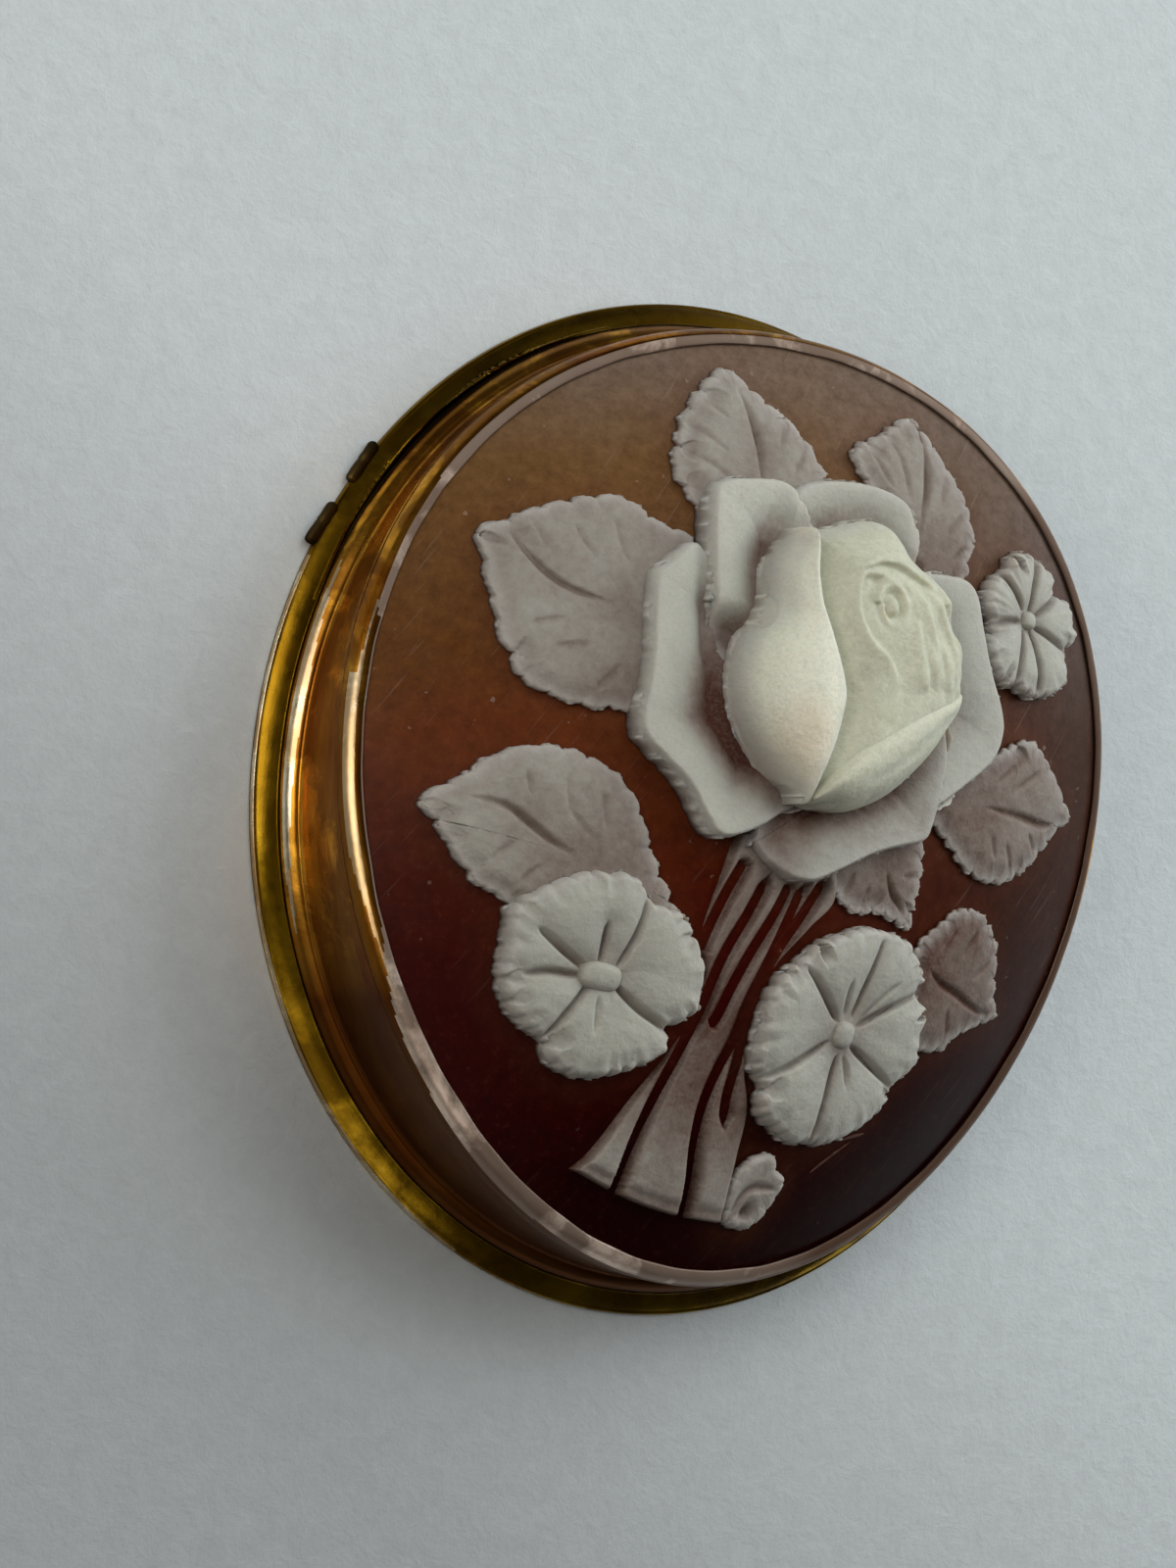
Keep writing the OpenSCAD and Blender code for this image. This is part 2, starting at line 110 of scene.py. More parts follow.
# columns: name, height as a share of LEAF_H, painted shade in mm taken off its white for colour,
# outline, midrib from the tip inwards, side veins, pitch of the teeth in mm
LEAVES = [
    ("leaf_left", 0.98, 0.00,
     [(-0.81, 0.42), (-0.75, 0.46), (-0.70, 0.49), (-0.63, 0.525), (-0.565, 0.55), (-0.50, 0.56),
      (-0.455, 0.54), (-0.415, 0.52), (-0.34, 0.50), (-0.30, 0.40), (-0.32, 0.20), (-0.38, 0.12),
      (-0.45, 0.10), (-0.52, 0.09), (-0.56, 0.085), (-0.61, 0.09), (-0.66, 0.10), (-0.71, 0.12),
      (-0.73, 0.16), (-0.755, 0.20), (-0.77, 0.26), (-0.79, 0.325), (-0.80, 0.38)],
     [(-0.755, 0.44), (-0.715, 0.39), (-0.655, 0.345), (-0.595, 0.325), (-0.53, 0.32)],
     [[(-0.70, 0.24), (-0.63, 0.265)], [(-0.65, 0.20), (-0.57, 0.22)], [(-0.615, 0.47), (-0.57, 0.41)],
      [(-0.70, 0.46), (-0.67, 0.41)], [(-0.53, 0.50), (-0.50, 0.42)], [(-0.55, 0.13), (-0.50, 0.19)]],
     1.25),
    ("leaf_lower_left", 0.98, 0.00,
     [(-0.88, -0.17), (-0.84, -0.13), (-0.80, -0.10), (-0.76, -0.06), (-0.705, -0.025),
      (-0.65, -0.01), (-0.59, -0.005), (-0.53, -0.015), (-0.465, -0.045), (-0.42, -0.085),
      (-0.38, -0.155), (-0.35, -0.205), (-0.30, -0.265), (-0.27, -0.31), (-0.32, -0.40),
      (-0.50, -0.42), (-0.64, -0.375), (-0.69, -0.335), (-0.725, -0.33), (-0.77, -0.295),
      (-0.80, -0.265), (-0.83, -0.23), (-0.86, -0.20)],
     [(-0.79, -0.148), (-0.71, -0.152), (-0.665, -0.173), (-0.605, -0.203), (-0.55, -0.222)],
     [[(-0.595, -0.065), (-0.57, -0.135), (-0.515, -0.18)], [(-0.51, -0.085), (-0.485, -0.155)],
      [(-0.68, -0.075), (-0.66, -0.12)], [(-0.73, -0.27), (-0.68, -0.22)],
      [(-0.66, -0.31), (-0.62, -0.26)]],
     1.15),
    ("leaf_top", 1.10, 0.06,
     [(-0.255, 0.91), (-0.29, 0.885), (-0.325, 0.84), (-0.35, 0.80), (-0.37, 0.76), (-0.38, 0.715),
      (-0.39, 0.68), (-0.385, 0.63), (-0.36, 0.60), (-0.31, 0.54), (-0.20, 0.50), (-0.08, 0.58),
      (-0.02, 0.70), (-0.03, 0.735), (-0.045, 0.755), (-0.06, 0.78), (-0.085, 0.80),
      (-0.11, 0.825), (-0.15, 0.845), (-0.185, 0.87), (-0.222, 0.895)],
     [(-0.235, 0.86), (-0.215, 0.81), (-0.20, 0.765), (-0.192, 0.715), (-0.19, 0.65)],
     [[(-0.365, 0.76), (-0.33, 0.745), (-0.27, 0.71)], [(-0.37, 0.70), (-0.31, 0.675), (-0.25, 0.645)],
      [(-0.32, 0.82), (-0.27, 0.79)], [(-0.13, 0.80), (-0.145, 0.75)], [(-0.08, 0.76), (-0.11, 0.70)]],
     1.05),
    ("leaf_upper_right", 1.08, 0.16,
     [(0.22, 0.91), (0.155, 0.87), (0.11, 0.835), (0.065, 0.81), (0.055, 0.775), (0.075, 0.74),
      (0.11, 0.68), (0.14, 0.60), (0.22, 0.53), (0.32, 0.53), (0.385, 0.58), (0.395, 0.63),
      (0.41, 0.665), (0.395, 0.71), (0.385, 0.745), (0.36, 0.78), (0.33, 0.81), (0.30, 0.84),
      (0.265, 0.88)],
     [(0.243, 0.87), (0.249, 0.80), (0.246, 0.735), (0.228, 0.66)],
     [[(0.155, 0.83), (0.185, 0.77), (0.20, 0.71)], [(0.10, 0.79), (0.15, 0.73)],
      [(0.31, 0.80), (0.29, 0.73)], [(0.36, 0.72), (0.31, 0.66)], [(0.385, 0.655), (0.33, 0.61)]],
     0.9),
    ("leaf_right", 0.88, 0.15,
     [(0.87, 0.15), (0.815, 0.195), (0.765, 0.23), (0.695, 0.27), (0.65, 0.278), (0.60, 0.26),
      (0.50, 0.20), (0.36, 0.13), (0.34, 0.06), (0.36, 0.03), (0.40, 0.01), (0.45, -0.015),
      (0.50, -0.04), (0.56, -0.055), (0.635, -0.05), (0.70, -0.02), (0.745, 0.015), (0.785, 0.06),
      (0.825, 0.11)],
     [(0.79, 0.118), (0.75, 0.108), (0.64, 0.106), (0.53, 0.10)],
     [[(0.66, -0.01), (0.62, 0.04)], [(0.59, 0.00), (0.565, 0.045)], [(0.70, 0.22), (0.62, 0.16)],
      [(0.62, 0.22), (0.55, 0.16)], [(0.74, 0.04), (0.70, 0.075)]],
     0.85),
    ("leaf_small", 0.74, 0.00,
     [(0.05, -0.07), (0.075, -0.14), (0.10, -0.165), (0.155, -0.195), (0.20, -0.203),
      (0.255, -0.19), (0.31, -0.197), (0.37, -0.205), (0.367, -0.17), (0.366, -0.125),
      (0.366, -0.08), (0.355, -0.03), (0.32, 0.03), (0.15, 0.00)],
     [(0.345, -0.185), (0.31, -0.16), (0.28, -0.14), (0.25, -0.10)],
     [[(0.20, -0.19), (0.205, -0.14)], [(0.14, -0.17), (0.155, -0.12)], [(0.35, -0.09), (0.30, -0.10)]],
     0.7),
    ("leaf_lower_right", 0.78, 0.24,
     [(0.41, -0.225), (0.455, -0.18), (0.495, -0.14), (0.55, -0.117), (0.615, -0.12),
      (0.66, -0.142), (0.705, -0.18), (0.73, -0.235), (0.758, -0.283), (0.787, -0.317),
      (0.70, -0.36), (0.64, -0.395), (0.61, -0.425), (0.53, -0.44), (0.45, -0.42), (0.42, -0.32)],
     [(0.74, -0.318), (0.685, -0.321), (0.59, -0.302), (0.52, -0.29), (0.47, -0.27)],
     [[(0.60, -0.16), (0.57, -0.22)], [(0.68, -0.21), (0.63, -0.26)], [(0.60, -0.40), (0.57, -0.34)],
      [(0.53, -0.17), (0.50, -0.23)]],
     0.8),
]
# columns: name, middle, button's two half sizes in mm, outline, creases from the button outwards,
# how many of these are wide, pitch of the frills in mm
FLOWERS = [
    ("flower_left", (-0.438, -0.458), (0.92, 0.62),
     [(-0.505, -0.245), (-0.47, -0.243), (-0.435, -0.235), (-0.395, -0.245), (-0.365, -0.275),
      (-0.345, -0.285), (-0.285, -0.292), (-0.247, -0.323), (-0.21, -0.367), (-0.193, -0.402),
      (-0.186, -0.458), (-0.188, -0.49), (-0.216, -0.515), (-0.245, -0.53), (-0.232, -0.55),
      (-0.232, -0.581), (-0.272, -0.614), (-0.323, -0.643), (-0.39, -0.665), (-0.455, -0.667),
      (-0.505, -0.645), (-0.53, -0.61), (-0.562, -0.599), (-0.604, -0.575), (-0.631, -0.549),
      (-0.655, -0.503), (-0.662, -0.46), (-0.664, -0.41), (-0.67, -0.368), (-0.652, -0.333),
      (-0.596, -0.29), (-0.547, -0.262)],
     [[(-0.405, -0.43), (-0.385, -0.36), (-0.37, -0.28)], [(-0.40, -0.47), (-0.33, -0.51), (-0.25, -0.535)],
      [(-0.46, -0.48), (-0.50, -0.55), (-0.53, -0.61)], [(-0.48, -0.445), (-0.54, -0.42), (-0.60, -0.39)],
      [(-0.485, -0.465), (-0.56, -0.47), (-0.61, -0.485)], [(-0.445, -0.43), (-0.45, -0.38), (-0.455, -0.35)],
      [(-0.435, -0.50), (-0.43, -0.54), (-0.425, -0.575)]],
     6, 1.1),
    ("flower_lower_right", (0.232, -0.457), (0.60, 0.62),
     [(0.09, -0.28), (0.15, -0.25), (0.205, -0.227), (0.265, -0.22), (0.35, -0.226),
      (0.392, -0.251), (0.445, -0.293), (0.432, -0.33), (0.487, -0.357), (0.49, -0.412),
      (0.507, -0.462), (0.50, -0.49), (0.458, -0.53), (0.461, -0.556), (0.433, -0.601),
      (0.374, -0.651), (0.29, -0.691), (0.245, -0.693), (0.192, -0.701), (0.133, -0.685), (0.073, -0.662),
      (0.052, -0.633), (0.048, -0.60), (0.012, -0.576), (-0.007, -0.54), (-0.012, -0.476),
      (-0.012, -0.412), (0.011, -0.363), (0.055, -0.32)],
     [[(0.245, -0.41), (0.255, -0.33), (0.268, -0.25)], [(0.27, -0.43), (0.34, -0.38), (0.42, -0.337)],
      [(0.27, -0.475), (0.35, -0.505), (0.445, -0.535)], [(0.235, -0.505), (0.24, -0.60), (0.249, -0.69)],
      [(0.19, -0.48), (0.11, -0.54), (0.03, -0.59)], [(0.20, -0.43), (0.14, -0.39), (0.075, -0.345)],
      [(0.27, -0.42), (0.31, -0.36), (0.345, -0.325)], [(0.255, -0.50), (0.275, -0.53), (0.285, -0.56)],
      [(0.215, -0.415), (0.205, -0.375), (0.20, -0.345)]],
     6, 1.0),
    ("flower_upper_right", (0.575, 0.53), (0.42, 0.42),
     [(0.52, 0.67), (0.58, 0.685), (0.625, 0.672), (0.665, 0.652), (0.672, 0.617), (0.725, 0.61),
      (0.745, 0.573), (0.765, 0.532), (0.735, 0.492), (0.742, 0.45), (0.735, 0.415),
      (0.671, 0.376), (0.60, 0.362), (0.555, 0.375), (0.52, 0.365), (0.475, 0.39), (0.44, 0.445),
      (0.455, 0.49), (0.425, 0.54), (0.45, 0.60), (0.485, 0.62)],
     [[(0.58, 0.55), (0.585, 0.61), (0.60, 0.675)], [(0.60, 0.545), (0.64, 0.58), (0.675, 0.615)],
      [(0.605, 0.52), (0.67, 0.505), (0.735, 0.492)], [(0.59, 0.505), (0.62, 0.44), (0.645, 0.375)],
      [(0.56, 0.50), (0.555, 0.43), (0.55, 0.375)], [(0.545, 0.52), (0.50, 0.51), (0.455, 0.49)],
      [(0.55, 0.55), (0.51, 0.59), (0.48, 0.62)]],
     7, 0.9),
]
# The creases from this one on are cut fine
FINE_CREASES = 6
# Power of the buttons' outline, where 2 is round
BOSS = 2.8
# The outer petals, each carried on to a hidden part under the bud
# columns: name, height as a share of PETAL_H, dip beside the bud in mm, places of the outline on its
# free edge, outline
OUTER_PETALS = [
    ("rose_petal_top", 0.80, 0.45, 10,
     [(-0.14, 0.63), (-0.123, 0.655), (-0.09, 0.68), (-0.036, 0.70), (0.02, 0.711), (0.065, 0.716),
      (0.105, 0.716), (0.15, 0.708), (0.18, 0.69), (0.198, 0.65), (0.20, 0.50), (0.10, 0.30),
      (-0.10, 0.32)]),
    ("rose_petal_right", 0.74, 0.20, 11,
     [(0.25, 0.56), (0.31, 0.568), (0.36, 0.568), (0.395, 0.54), (0.42, 0.47), (0.456, 0.385),
      (0.505, 0.31), (0.52, 0.26), (0.497, 0.195), (0.40, 0.108), (0.335, 0.058), (0.16, 0.08),
      (0.05, 0.30), (0.10, 0.50)]),
    ("rose_petal_bottom", 0.92, 0.35, 14,
     [(-0.15, -0.10), (-0.147, -0.118), (-0.11, -0.146), (-0.073, -0.164), (-0.035, -0.173), (0.012, -0.169),
      (0.07, -0.137), (0.165, -0.08), (0.24, -0.048), (0.308, -0.022), (0.325, 0.014),
      (0.332, 0.08), (0.337, 0.165), (0.32, 0.25), (0.15, 0.32), (-0.05, 0.20)]),
    ("rose_petal_left", 1.00, 0.50, 18,
     [(-0.335, 0.475), (-0.355, 0.487), (-0.39, 0.474), (-0.43, 0.43), (-0.461, 0.39),
      (-0.462, 0.304), (-0.461, 0.216), (-0.466, 0.138), (-0.47, 0.087), (-0.457, 0.046),
      (-0.41, 0.01), (-0.346, -0.034), (-0.30, -0.087), (-0.266, -0.119), (-0.225, -0.122), (-0.16, -0.09),
      (-0.093, -0.045), (-0.04, -0.012), (-0.02, 0.12), (-0.12, 0.28), (-0.23, 0.42)]),
    ("rose_petal_upper_left", 1.08, 0.50, 11,
     [(-0.125, 0.635), (-0.135, 0.655), (-0.172, 0.668), (-0.229, 0.659), (-0.29, 0.644), (-0.328, 0.618),
      (-0.335, 0.57), (-0.336, 0.50), (-0.330, 0.402), (-0.318, 0.335), (-0.30, 0.27),
      (-0.16, 0.22), (0.0, 0.30), (-0.02, 0.50)]),
]
# The big left petal of the bud, from its foot up its left side and down its right edge
BUD_LEFT = [
    (-0.098, -0.026), (-0.112, 0.00), (-0.168, 0.036), (-0.223, 0.091), (-0.255, 0.147),
    (-0.268, 0.195), (-0.270, 0.245), (-0.258, 0.30), (-0.231, 0.337), (-0.209, 0.374),
    (-0.207, 0.425), (-0.202, 0.47), (-0.180, 0.508), (-0.165, 0.54), (-0.155, 0.562),
]
BUD_RIGHT_EDGE = [
    (-0.155, 0.562), (-0.150, 0.531), (-0.152, 0.454), (-0.142, 0.393), (-0.116, 0.334),
    (-0.077, 0.242), (-0.067, 0.20), (-0.073, 0.116), (-0.087, 0.038), (-0.098, -0.026),
]
# The inner bud, with the far side hidden below the big left petal
BUD_CORE = [
    (-0.13, 0.55), (-0.095, 0.572), (-0.06, 0.585), (-0.009, 0.609), (0.045, 0.625), (0.085, 0.618),
    (0.115, 0.592), (0.135, 0.565), (0.168, 0.549), (0.212, 0.531), (0.248, 0.507), (0.262, 0.475),
    (0.256, 0.44), (0.287, 0.411), (0.303, 0.369), (0.308, 0.322), (0.305, 0.27), (0.27, 0.20),
    (0.21, 0.11), (0.12, 0.03), (0.03, -0.01), (-0.06, -0.02), (-0.15, 0.05), (-0.22, 0.15),
    (-0.24, 0.28), (-0.20, 0.42),
]
# Carved edges on the inner bud: line, which side of its run is higher, rise in mm
BUD_EDGES = [
    ([(-0.09, 0.470), (-0.043, 0.493), (-0.005, 0.511), (0.034, 0.516), (0.073, 0.514), (0.14, 0.50),
      (0.20, 0.485)], 1, 0.425),
    ([(0.075, 0.455), (0.031, 0.477), (-0.008, 0.481), (-0.039, 0.474), (-0.051, 0.44),
      (-0.046, 0.389), (-0.016, 0.344), (0.025, 0.318), (0.054, 0.28), (0.072, 0.21)], -1, 0.375),
    ([(0.085, 0.50), (0.125, 0.455), (0.15, 0.40), (0.175, 0.34), (0.20, 0.28)], -1, 0.325),
    ([(0.131, 0.50), (0.184, 0.455), (0.215, 0.40), (0.24, 0.33), (0.25, 0.28)], -1, 0.325),
    ([(0.17, 0.53), (0.215, 0.485), (0.24, 0.435), (0.27, 0.38), (0.275, 0.32)], -1, 0.275),
    ([(0.10, 0.42), (0.115, 0.36), (0.14, 0.30), (0.15, 0.26)], -1, 0.225),
]
HEART_AT = (0.034, 0.425)
# Fall of an outer petal from its free edge inwards
# columns: distance in mm, share of its height
PETAL_FALL = [(0, 1.0), (0.5, 1.0), (1.3, 0.92), (2.2, 0.72), (3.2, 0.50), (4.5, 0.38), (9.0, 0.32)]
# Height of the bud's left petal up its length, and from its left edge to its right one
# columns: share of HALF_H or of the width, share of BUD_H
BUD_UP = [(-0.03, 0.74), (0.06, 0.90), (0.2, 1.0), (0.35, 1.0), (0.5, 0.96), (0.57, 0.93)]
BUD_ACROSS = [(0, 0.24), (0.07, 0.44), (0.18, 0.63), (0.38, 0.84), (0.65, 0.97), (0.88, 1.0), (1.0, 0.97)]
# Rise of the inner bud from its edge inwards
# columns: distance in mm, share of BUD_H
CORE_RISE = [(0, 0.46), (0.25, 0.60), (0.8, 0.76), (1.8, 0.90), (3.2, 0.95), (6.0, 0.95)]
# The peach blush on the bud's big petal: its middle and its half sizes
BLUSH_AT = (-0.155, 0.085)
BLUSH_SIZE = (0.075, 0.13)
# The low petal that laps over the bud from its foot to a point at its right
# columns: free edge x, free edge y, rooted edge x, rooted edge y
LOW_PETAL = [
    (0.286, 0.296, 0.316, 0.280),
    (0.235, 0.266, 0.306, 0.243),
    (0.180, 0.240, 0.287, 0.205),
    (0.130, 0.213, 0.262, 0.160),
    (0.078, 0.178, 0.215, 0.105),
    (0.030, 0.140, 0.150, 0.045),
    (-0.010, 0.104, 0.085, 0.005),
    (-0.040, 0.070, 0.025, -0.018),
    (-0.066, 0.030, -0.035, -0.018),
    (-0.088, -0.010, -0.075, -0.024),
]
# Height of the low petal from its free edge to its rooted one, and from its point to its foot
# columns: share of the way, share of the height
LOW_PETAL_ACROSS = [(0, 0.93), (0.12, 1.00), (0.35, 0.98), (0.65, 0.84), (0.88, 0.60), (1.0, 0.42)]
LOW_PETAL_ALONG = [(0, 0.66), (0.15, 0.86), (0.5, 0.97), (0.85, 0.92), (1.0, 0.72)]
# Height of the stems from their top to their feet
# columns: share of the way, share of STEM_H
STEM_FALL = [(0, 0.72), (0.25, 0.50), (0.5, 0.34), (0.7, 0.50), (0.85, 0.86), (1.0, 1.0)]
# The bundle of stems: its two sides from the top to the feet, and the gaps between its strands
STEMS_LEFT = [(-0.174, -0.10), (-0.202, -0.28), (-0.20, -0.34), (-0.178, -0.42), (-0.176, -0.50),
              (-0.209, -0.58), (-0.262, -0.685), (-0.313, -0.80), (-0.348, -0.848)]
STEMS_RIGHT = [(0.10, -0.10), (0.126, -0.185), (0.076, -0.255), (0.005, -0.365), (-0.016, -0.475),
               (0.015, -0.575), (0.060, -0.656), (0.075, -0.75), (0.088, -0.838), (0.104, -0.891)]
FOOT_BULGE = 0.022
STEM_GAPS = [
    [(-0.135, -0.15), (-0.165, -0.225), (-0.190, -0.312), (-0.20, -0.36)],
    [(-0.065, -0.16), (-0.10, -0.262), (-0.131, -0.345), (-0.147, -0.419), (-0.157, -0.478),
     (-0.176, -0.559), (-0.203, -0.673), (-0.220, -0.779), (-0.222, -0.92)],
    [(-0.005, -0.17), (-0.03, -0.248), (-0.067, -0.339), (-0.091, -0.414), (-0.106, -0.475),
     (-0.122, -0.51)],
    [(0.036, -0.15), (0.012, -0.246), (-0.006, -0.321), (-0.035, -0.43), (-0.045, -0.515),
     (-0.063, -0.59), (-0.070, -0.663), (-0.059, -0.744), (-0.035, -0.82), (-0.010, -0.92)],
    [(0.087, -0.14), (0.050, -0.226), (0.008, -0.312), (-0.023, -0.415), (-0.027, -0.493),
     (-0.017, -0.555), (-0.012, -0.639), (0.014, -0.72)],
]
LOW_BUD = [(0.104, -0.891), (0.082, -0.84), (0.084, -0.775), (0.125, -0.735), (0.173, -0.729),
           (0.199, -0.755), (0.236, -0.774), (0.233, -0.815), (0.213, -0.864), (0.175, -0.893)]
LOW_BUD_FOLD = [(0.105, -0.885), (0.115, -0.83), (0.145, -0.805), (0.205, -0.80)]
LOW_BUD_HOLLOW = (0.148, -0.858)
# Slips of the graver in the brown ground below the lower right flower
SLIPS = [[(0.324, -0.744), (0.37, -0.70), (0.418, -0.660)],
         [(0.383, -0.662), (0.42, -0.648), (0.455, -0.635)]]
# Half width of a slip at its ends and at its widest, in mm
SLIP_HALF = (0.015, 0.070)
# How far the film of white reaches round the carving, in mm
FILM_REACH = 0.9


# Plain mathematics

def ground(x, y):
    """Height of the domed brown ground over plan points in millimetres."""
    s, t = x / HALF_W, y / HALF_H
    swing = (s * s - t * t) * math.cos(2 * BEND_TURN) + 2 * s * t * math.sin(2 * BEND_TURN)
    return RIM_Z + DOME_RISE * (1 - s * s - t * t) + SADDLE * swing


def at(places):
    """Plan points in millimetres from shares of the shell's half sizes."""
    return np.array(places) * (HALF_W, HALF_H)


def station(turn, out):
    """Plan point at a direction in radians, pushed out from the lip's inner edge."""
    return (HALF_W + out) * np.cos(turn), (HALF_H + out) * np.sin(turn)


def smooth(x, low, high):
    """Smooth step from 0 at low to 1 at high."""
    k = np.clip((x - low) / (high - low), 0, 1)
    return k * k * (3 - 2 * k)


def spread(count, ends=0.0):
    """Shares from 0 to 1, closer together near both ends."""
    k = np.linspace(0, 1, count)
    return k * (1 - ends) + ends * (1 - np.cos(np.pi * k)) / 2


def along(points, shares):
    """Points at shares of the way along a smooth line through chosen points."""
    points = np.asarray(points, float)
    last = len(points) - 1
    x = np.minimum(np.asarray(shares) * last, last - 1e-6)
    i = np.floor(x).astype(int)
    f = (x - i)[:, None]
    a, b = points[np.maximum(i - 1, 0)], points[i]
    c, d = points[i + 1], points[np.minimum(i + 2, last)]
    return (2 * b + (c - a) * f + (2 * a - 5 * b + 4 * c - d) * f**2
            + (3 * b - a - 3 * c + d) * f**3) / 2


def curve(shares, values, k):
    """Smooth value at k through a short list of shares and values."""
    pairs = np.column_stack([shares, values])
    fine = along(pairs, np.linspace(0, 1, 400))
    return np.interp(k, fine[:, 0], fine[:, 1])


def around(points, count):
    """Evenly spread points in millimetres along a smooth closed line through chosen places."""
    loop = [*points[-2:], *points, *points[:3]]
    fine = along(loop, np.linspace(2 / (len(loop) - 1), (len(points) + 2) / (len(loop) - 1), 2000))
    fine = at(fine)
    run = np.append(0, np.cumsum(np.hypot(*np.diff(fine, axis=0).T)))
    goal = np.linspace(0, run[-1], count, endpoint=False)
    return np.stack([np.interp(goal, run, fine[:, 0]), np.interp(goal, run, fine[:, 1])], -1), run[-1]


def strip(start, stop, shares):
    """Plan points at shares of the way from one line of points to another."""
    points = start[:, None] + (stop - start)[:, None] * np.asarray(shares)[None, :, None]
    return points[..., 0], points[..., 1]


def to_line(px, py, points, count=90):
    """Share along a smooth line, signed distance (left is positive) and distance, in millimetres."""
    line = at(along(points, np.linspace(0, 1, count)))
    ahead = np.gradient(line, axis=0)
    ahead /= np.hypot(*ahead.T)[:, None]
    dx, dy = px[..., None] - line[:, 0], py[..., None] - line[:, 1]
    square = dx * dx + dy * dy
    near = square.argmin(-1)
    off = (ahead[near, 0] * np.take_along_axis(dy, near[..., None], -1)[..., 0]
           - ahead[near, 1] * np.take_along_axis(dx, near[..., None], -1)[..., 0])
    return near / (count - 1), off, np.sqrt(square.min(-1))


def crease(px, py, points, width, depth, taper=0.5):
    """Depth of a groove that is deepest in its middle and runs out at both ends."""
    share, _, away = to_line(px, py, points)
    fade = np.clip(np.sin(np.pi * np.clip(share, 0.02, 0.98)), 0, 1) ** taper
    return depth * fade * np.exp(-(away / (width * (0.4 + 0.6 * fade))) ** 2)


def dip(px, py, points, depth, width):
    """Depth of a soft trough along a line."""
    return depth * np.exp(-(to_line(px, py, points)[2] / width) ** 2)


def lap(px, py, points, side, rise):
    """Height of a petal's edge over the surface that it laps over; the left side is side 1."""
    share, off, away = to_line(px, py, points)
    off, soft = off * side, 0.07
    fade = smooth(share, 0.0, 0.25) * smooth(share, 1.0, 0.75) * np.exp(-(away / 1.6) ** 2)
    edge = 1 / (1 + np.exp(-np.clip(off / soft, -30, 30)))
    return rise * fade * (edge * np.exp(-np.clip(off, 0, 9) / 1.0)
                          - 0.55 * (1 - edge) * np.exp(np.clip(off, -9, 0) / 0.35))


def ripple(x, y, seed, scale):
    """Cheap smooth unevenness between -1 and 1 from a few crossed waves."""
    rng = np.random.default_rng(seed)
    total = 0
    for _ in range(5):
        turn, phase, pitch = rng.uniform(0, 2 * np.pi), rng.uniform(0, 6), rng.uniform(0.6, 1.6)
        total = total + np.sin((x * np.cos(turn) + y * np.sin(turn)) * pitch / scale + phase)
    return total / 5


# Meshes

def new_object(name, verts, faces, material, node):
    """Smooth-shaded piece in metres that rides on the body and stands for a CAD node."""
    mesh = bpy.data.meshes.new(name)
    mesh.from_pydata((np.asarray(verts) * MM).tolist(), [], faces)
    mesh.validate()
    mesh.shade_smooth()
    obj = bpy.data.objects.new(name, mesh)
    bpy.context.collection.objects.link(obj)
    mesh.materials.append(material)
    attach(obj, BODY)
    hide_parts(node)
    return obj


def gold_piece(name, verts, faces, material):
    return new_object(name, verts, faces, material, "mount")


def white_piece(name, verts, faces, material):
    return new_object(name, verts, faces, material, "carved_relief")


def mark(obj, name, values):
    """A number at each point of a piece, for its material."""
    obj.data.attributes.new(name, "FLOAT", "POINT").data.foreach_set("value", values)


def grid_faces(rows, cols, start=0, flip=False, wrap=False, close=False):
    """Quads over a grid of points; wrap joins the last column to the first, close the last row."""
    faces = []
    for i in range(rows if close else rows - 1):
        row, after = start + i * cols, start + (i + 1) % rows * cols
        for j in range(cols if wrap else cols - 1):
            k = (j + 1) % cols
            quad = (row + j, row + k, after + k, after + j)
            faces.append(quad[::-1] if flip else quad)
    return faces


def closed_patch(x, y, height):
    """Closed body under a grid of tops given by plan points and heights over the ground."""
    rows, cols = x.shape
    base = ground(x, y)
    tops = np.stack([x, y, base + height], -1).reshape(-1, 3)
    feet = np.stack([x, y, base - SUNK], -1).reshape(-1, 3)
    n = rows * cols
    ring = ([(0, j) for j in range(cols)] + [(i, cols - 1) for i in range(1, rows)]
            + [(rows - 1, j) for j in range(cols - 2, -1, -1)] + [(i, 0) for i in range(rows - 2, 0, -1)])
    ring = [i * cols + j for i, j in ring]
    # The winding follows the way the grid runs over the plan
    i, j = rows // 2, cols // 2
    down, across = tops[[(i + 1) * cols + j, i * cols + j + 1]] - tops[i * cols + j]
    flip = bool(down[0] * across[1] > down[1] * across[0])
    faces = grid_faces(rows, cols, flip=flip) + grid_faces(rows, cols, n, not flip)
    for a, b in zip(ring, ring[1:] + ring[:1]):
        quad = (b, a, a + n, b + n)
        faces.append(quad[::-1] if flip else quad)
    return np.vstack([tops, feet]), faces


def closed_round(rings_x, rings_y, height):
    """Closed body under rings of tops, the outermost first."""
    rings, count = rings_x.shape
    base = ground(rings_x, rings_y)
    tops = np.stack([rings_x, rings_y, base + height], -1).reshape(-1, 3)
    feet = np.stack([rings_x[0], rings_y[0], base[0] - SUNK], -1)
    faces = grid_faces(rings, count, wrap=True)
    n = rings * count
    faces += [(n + j, n + (j + 1) % count, (j + 1) % count, j) for j in range(count)]
    faces += [tuple(range(n - count, n)), tuple(range(n, n + count))[::-1]]
    return np.vstack([tops, feet]), faces


# Materials

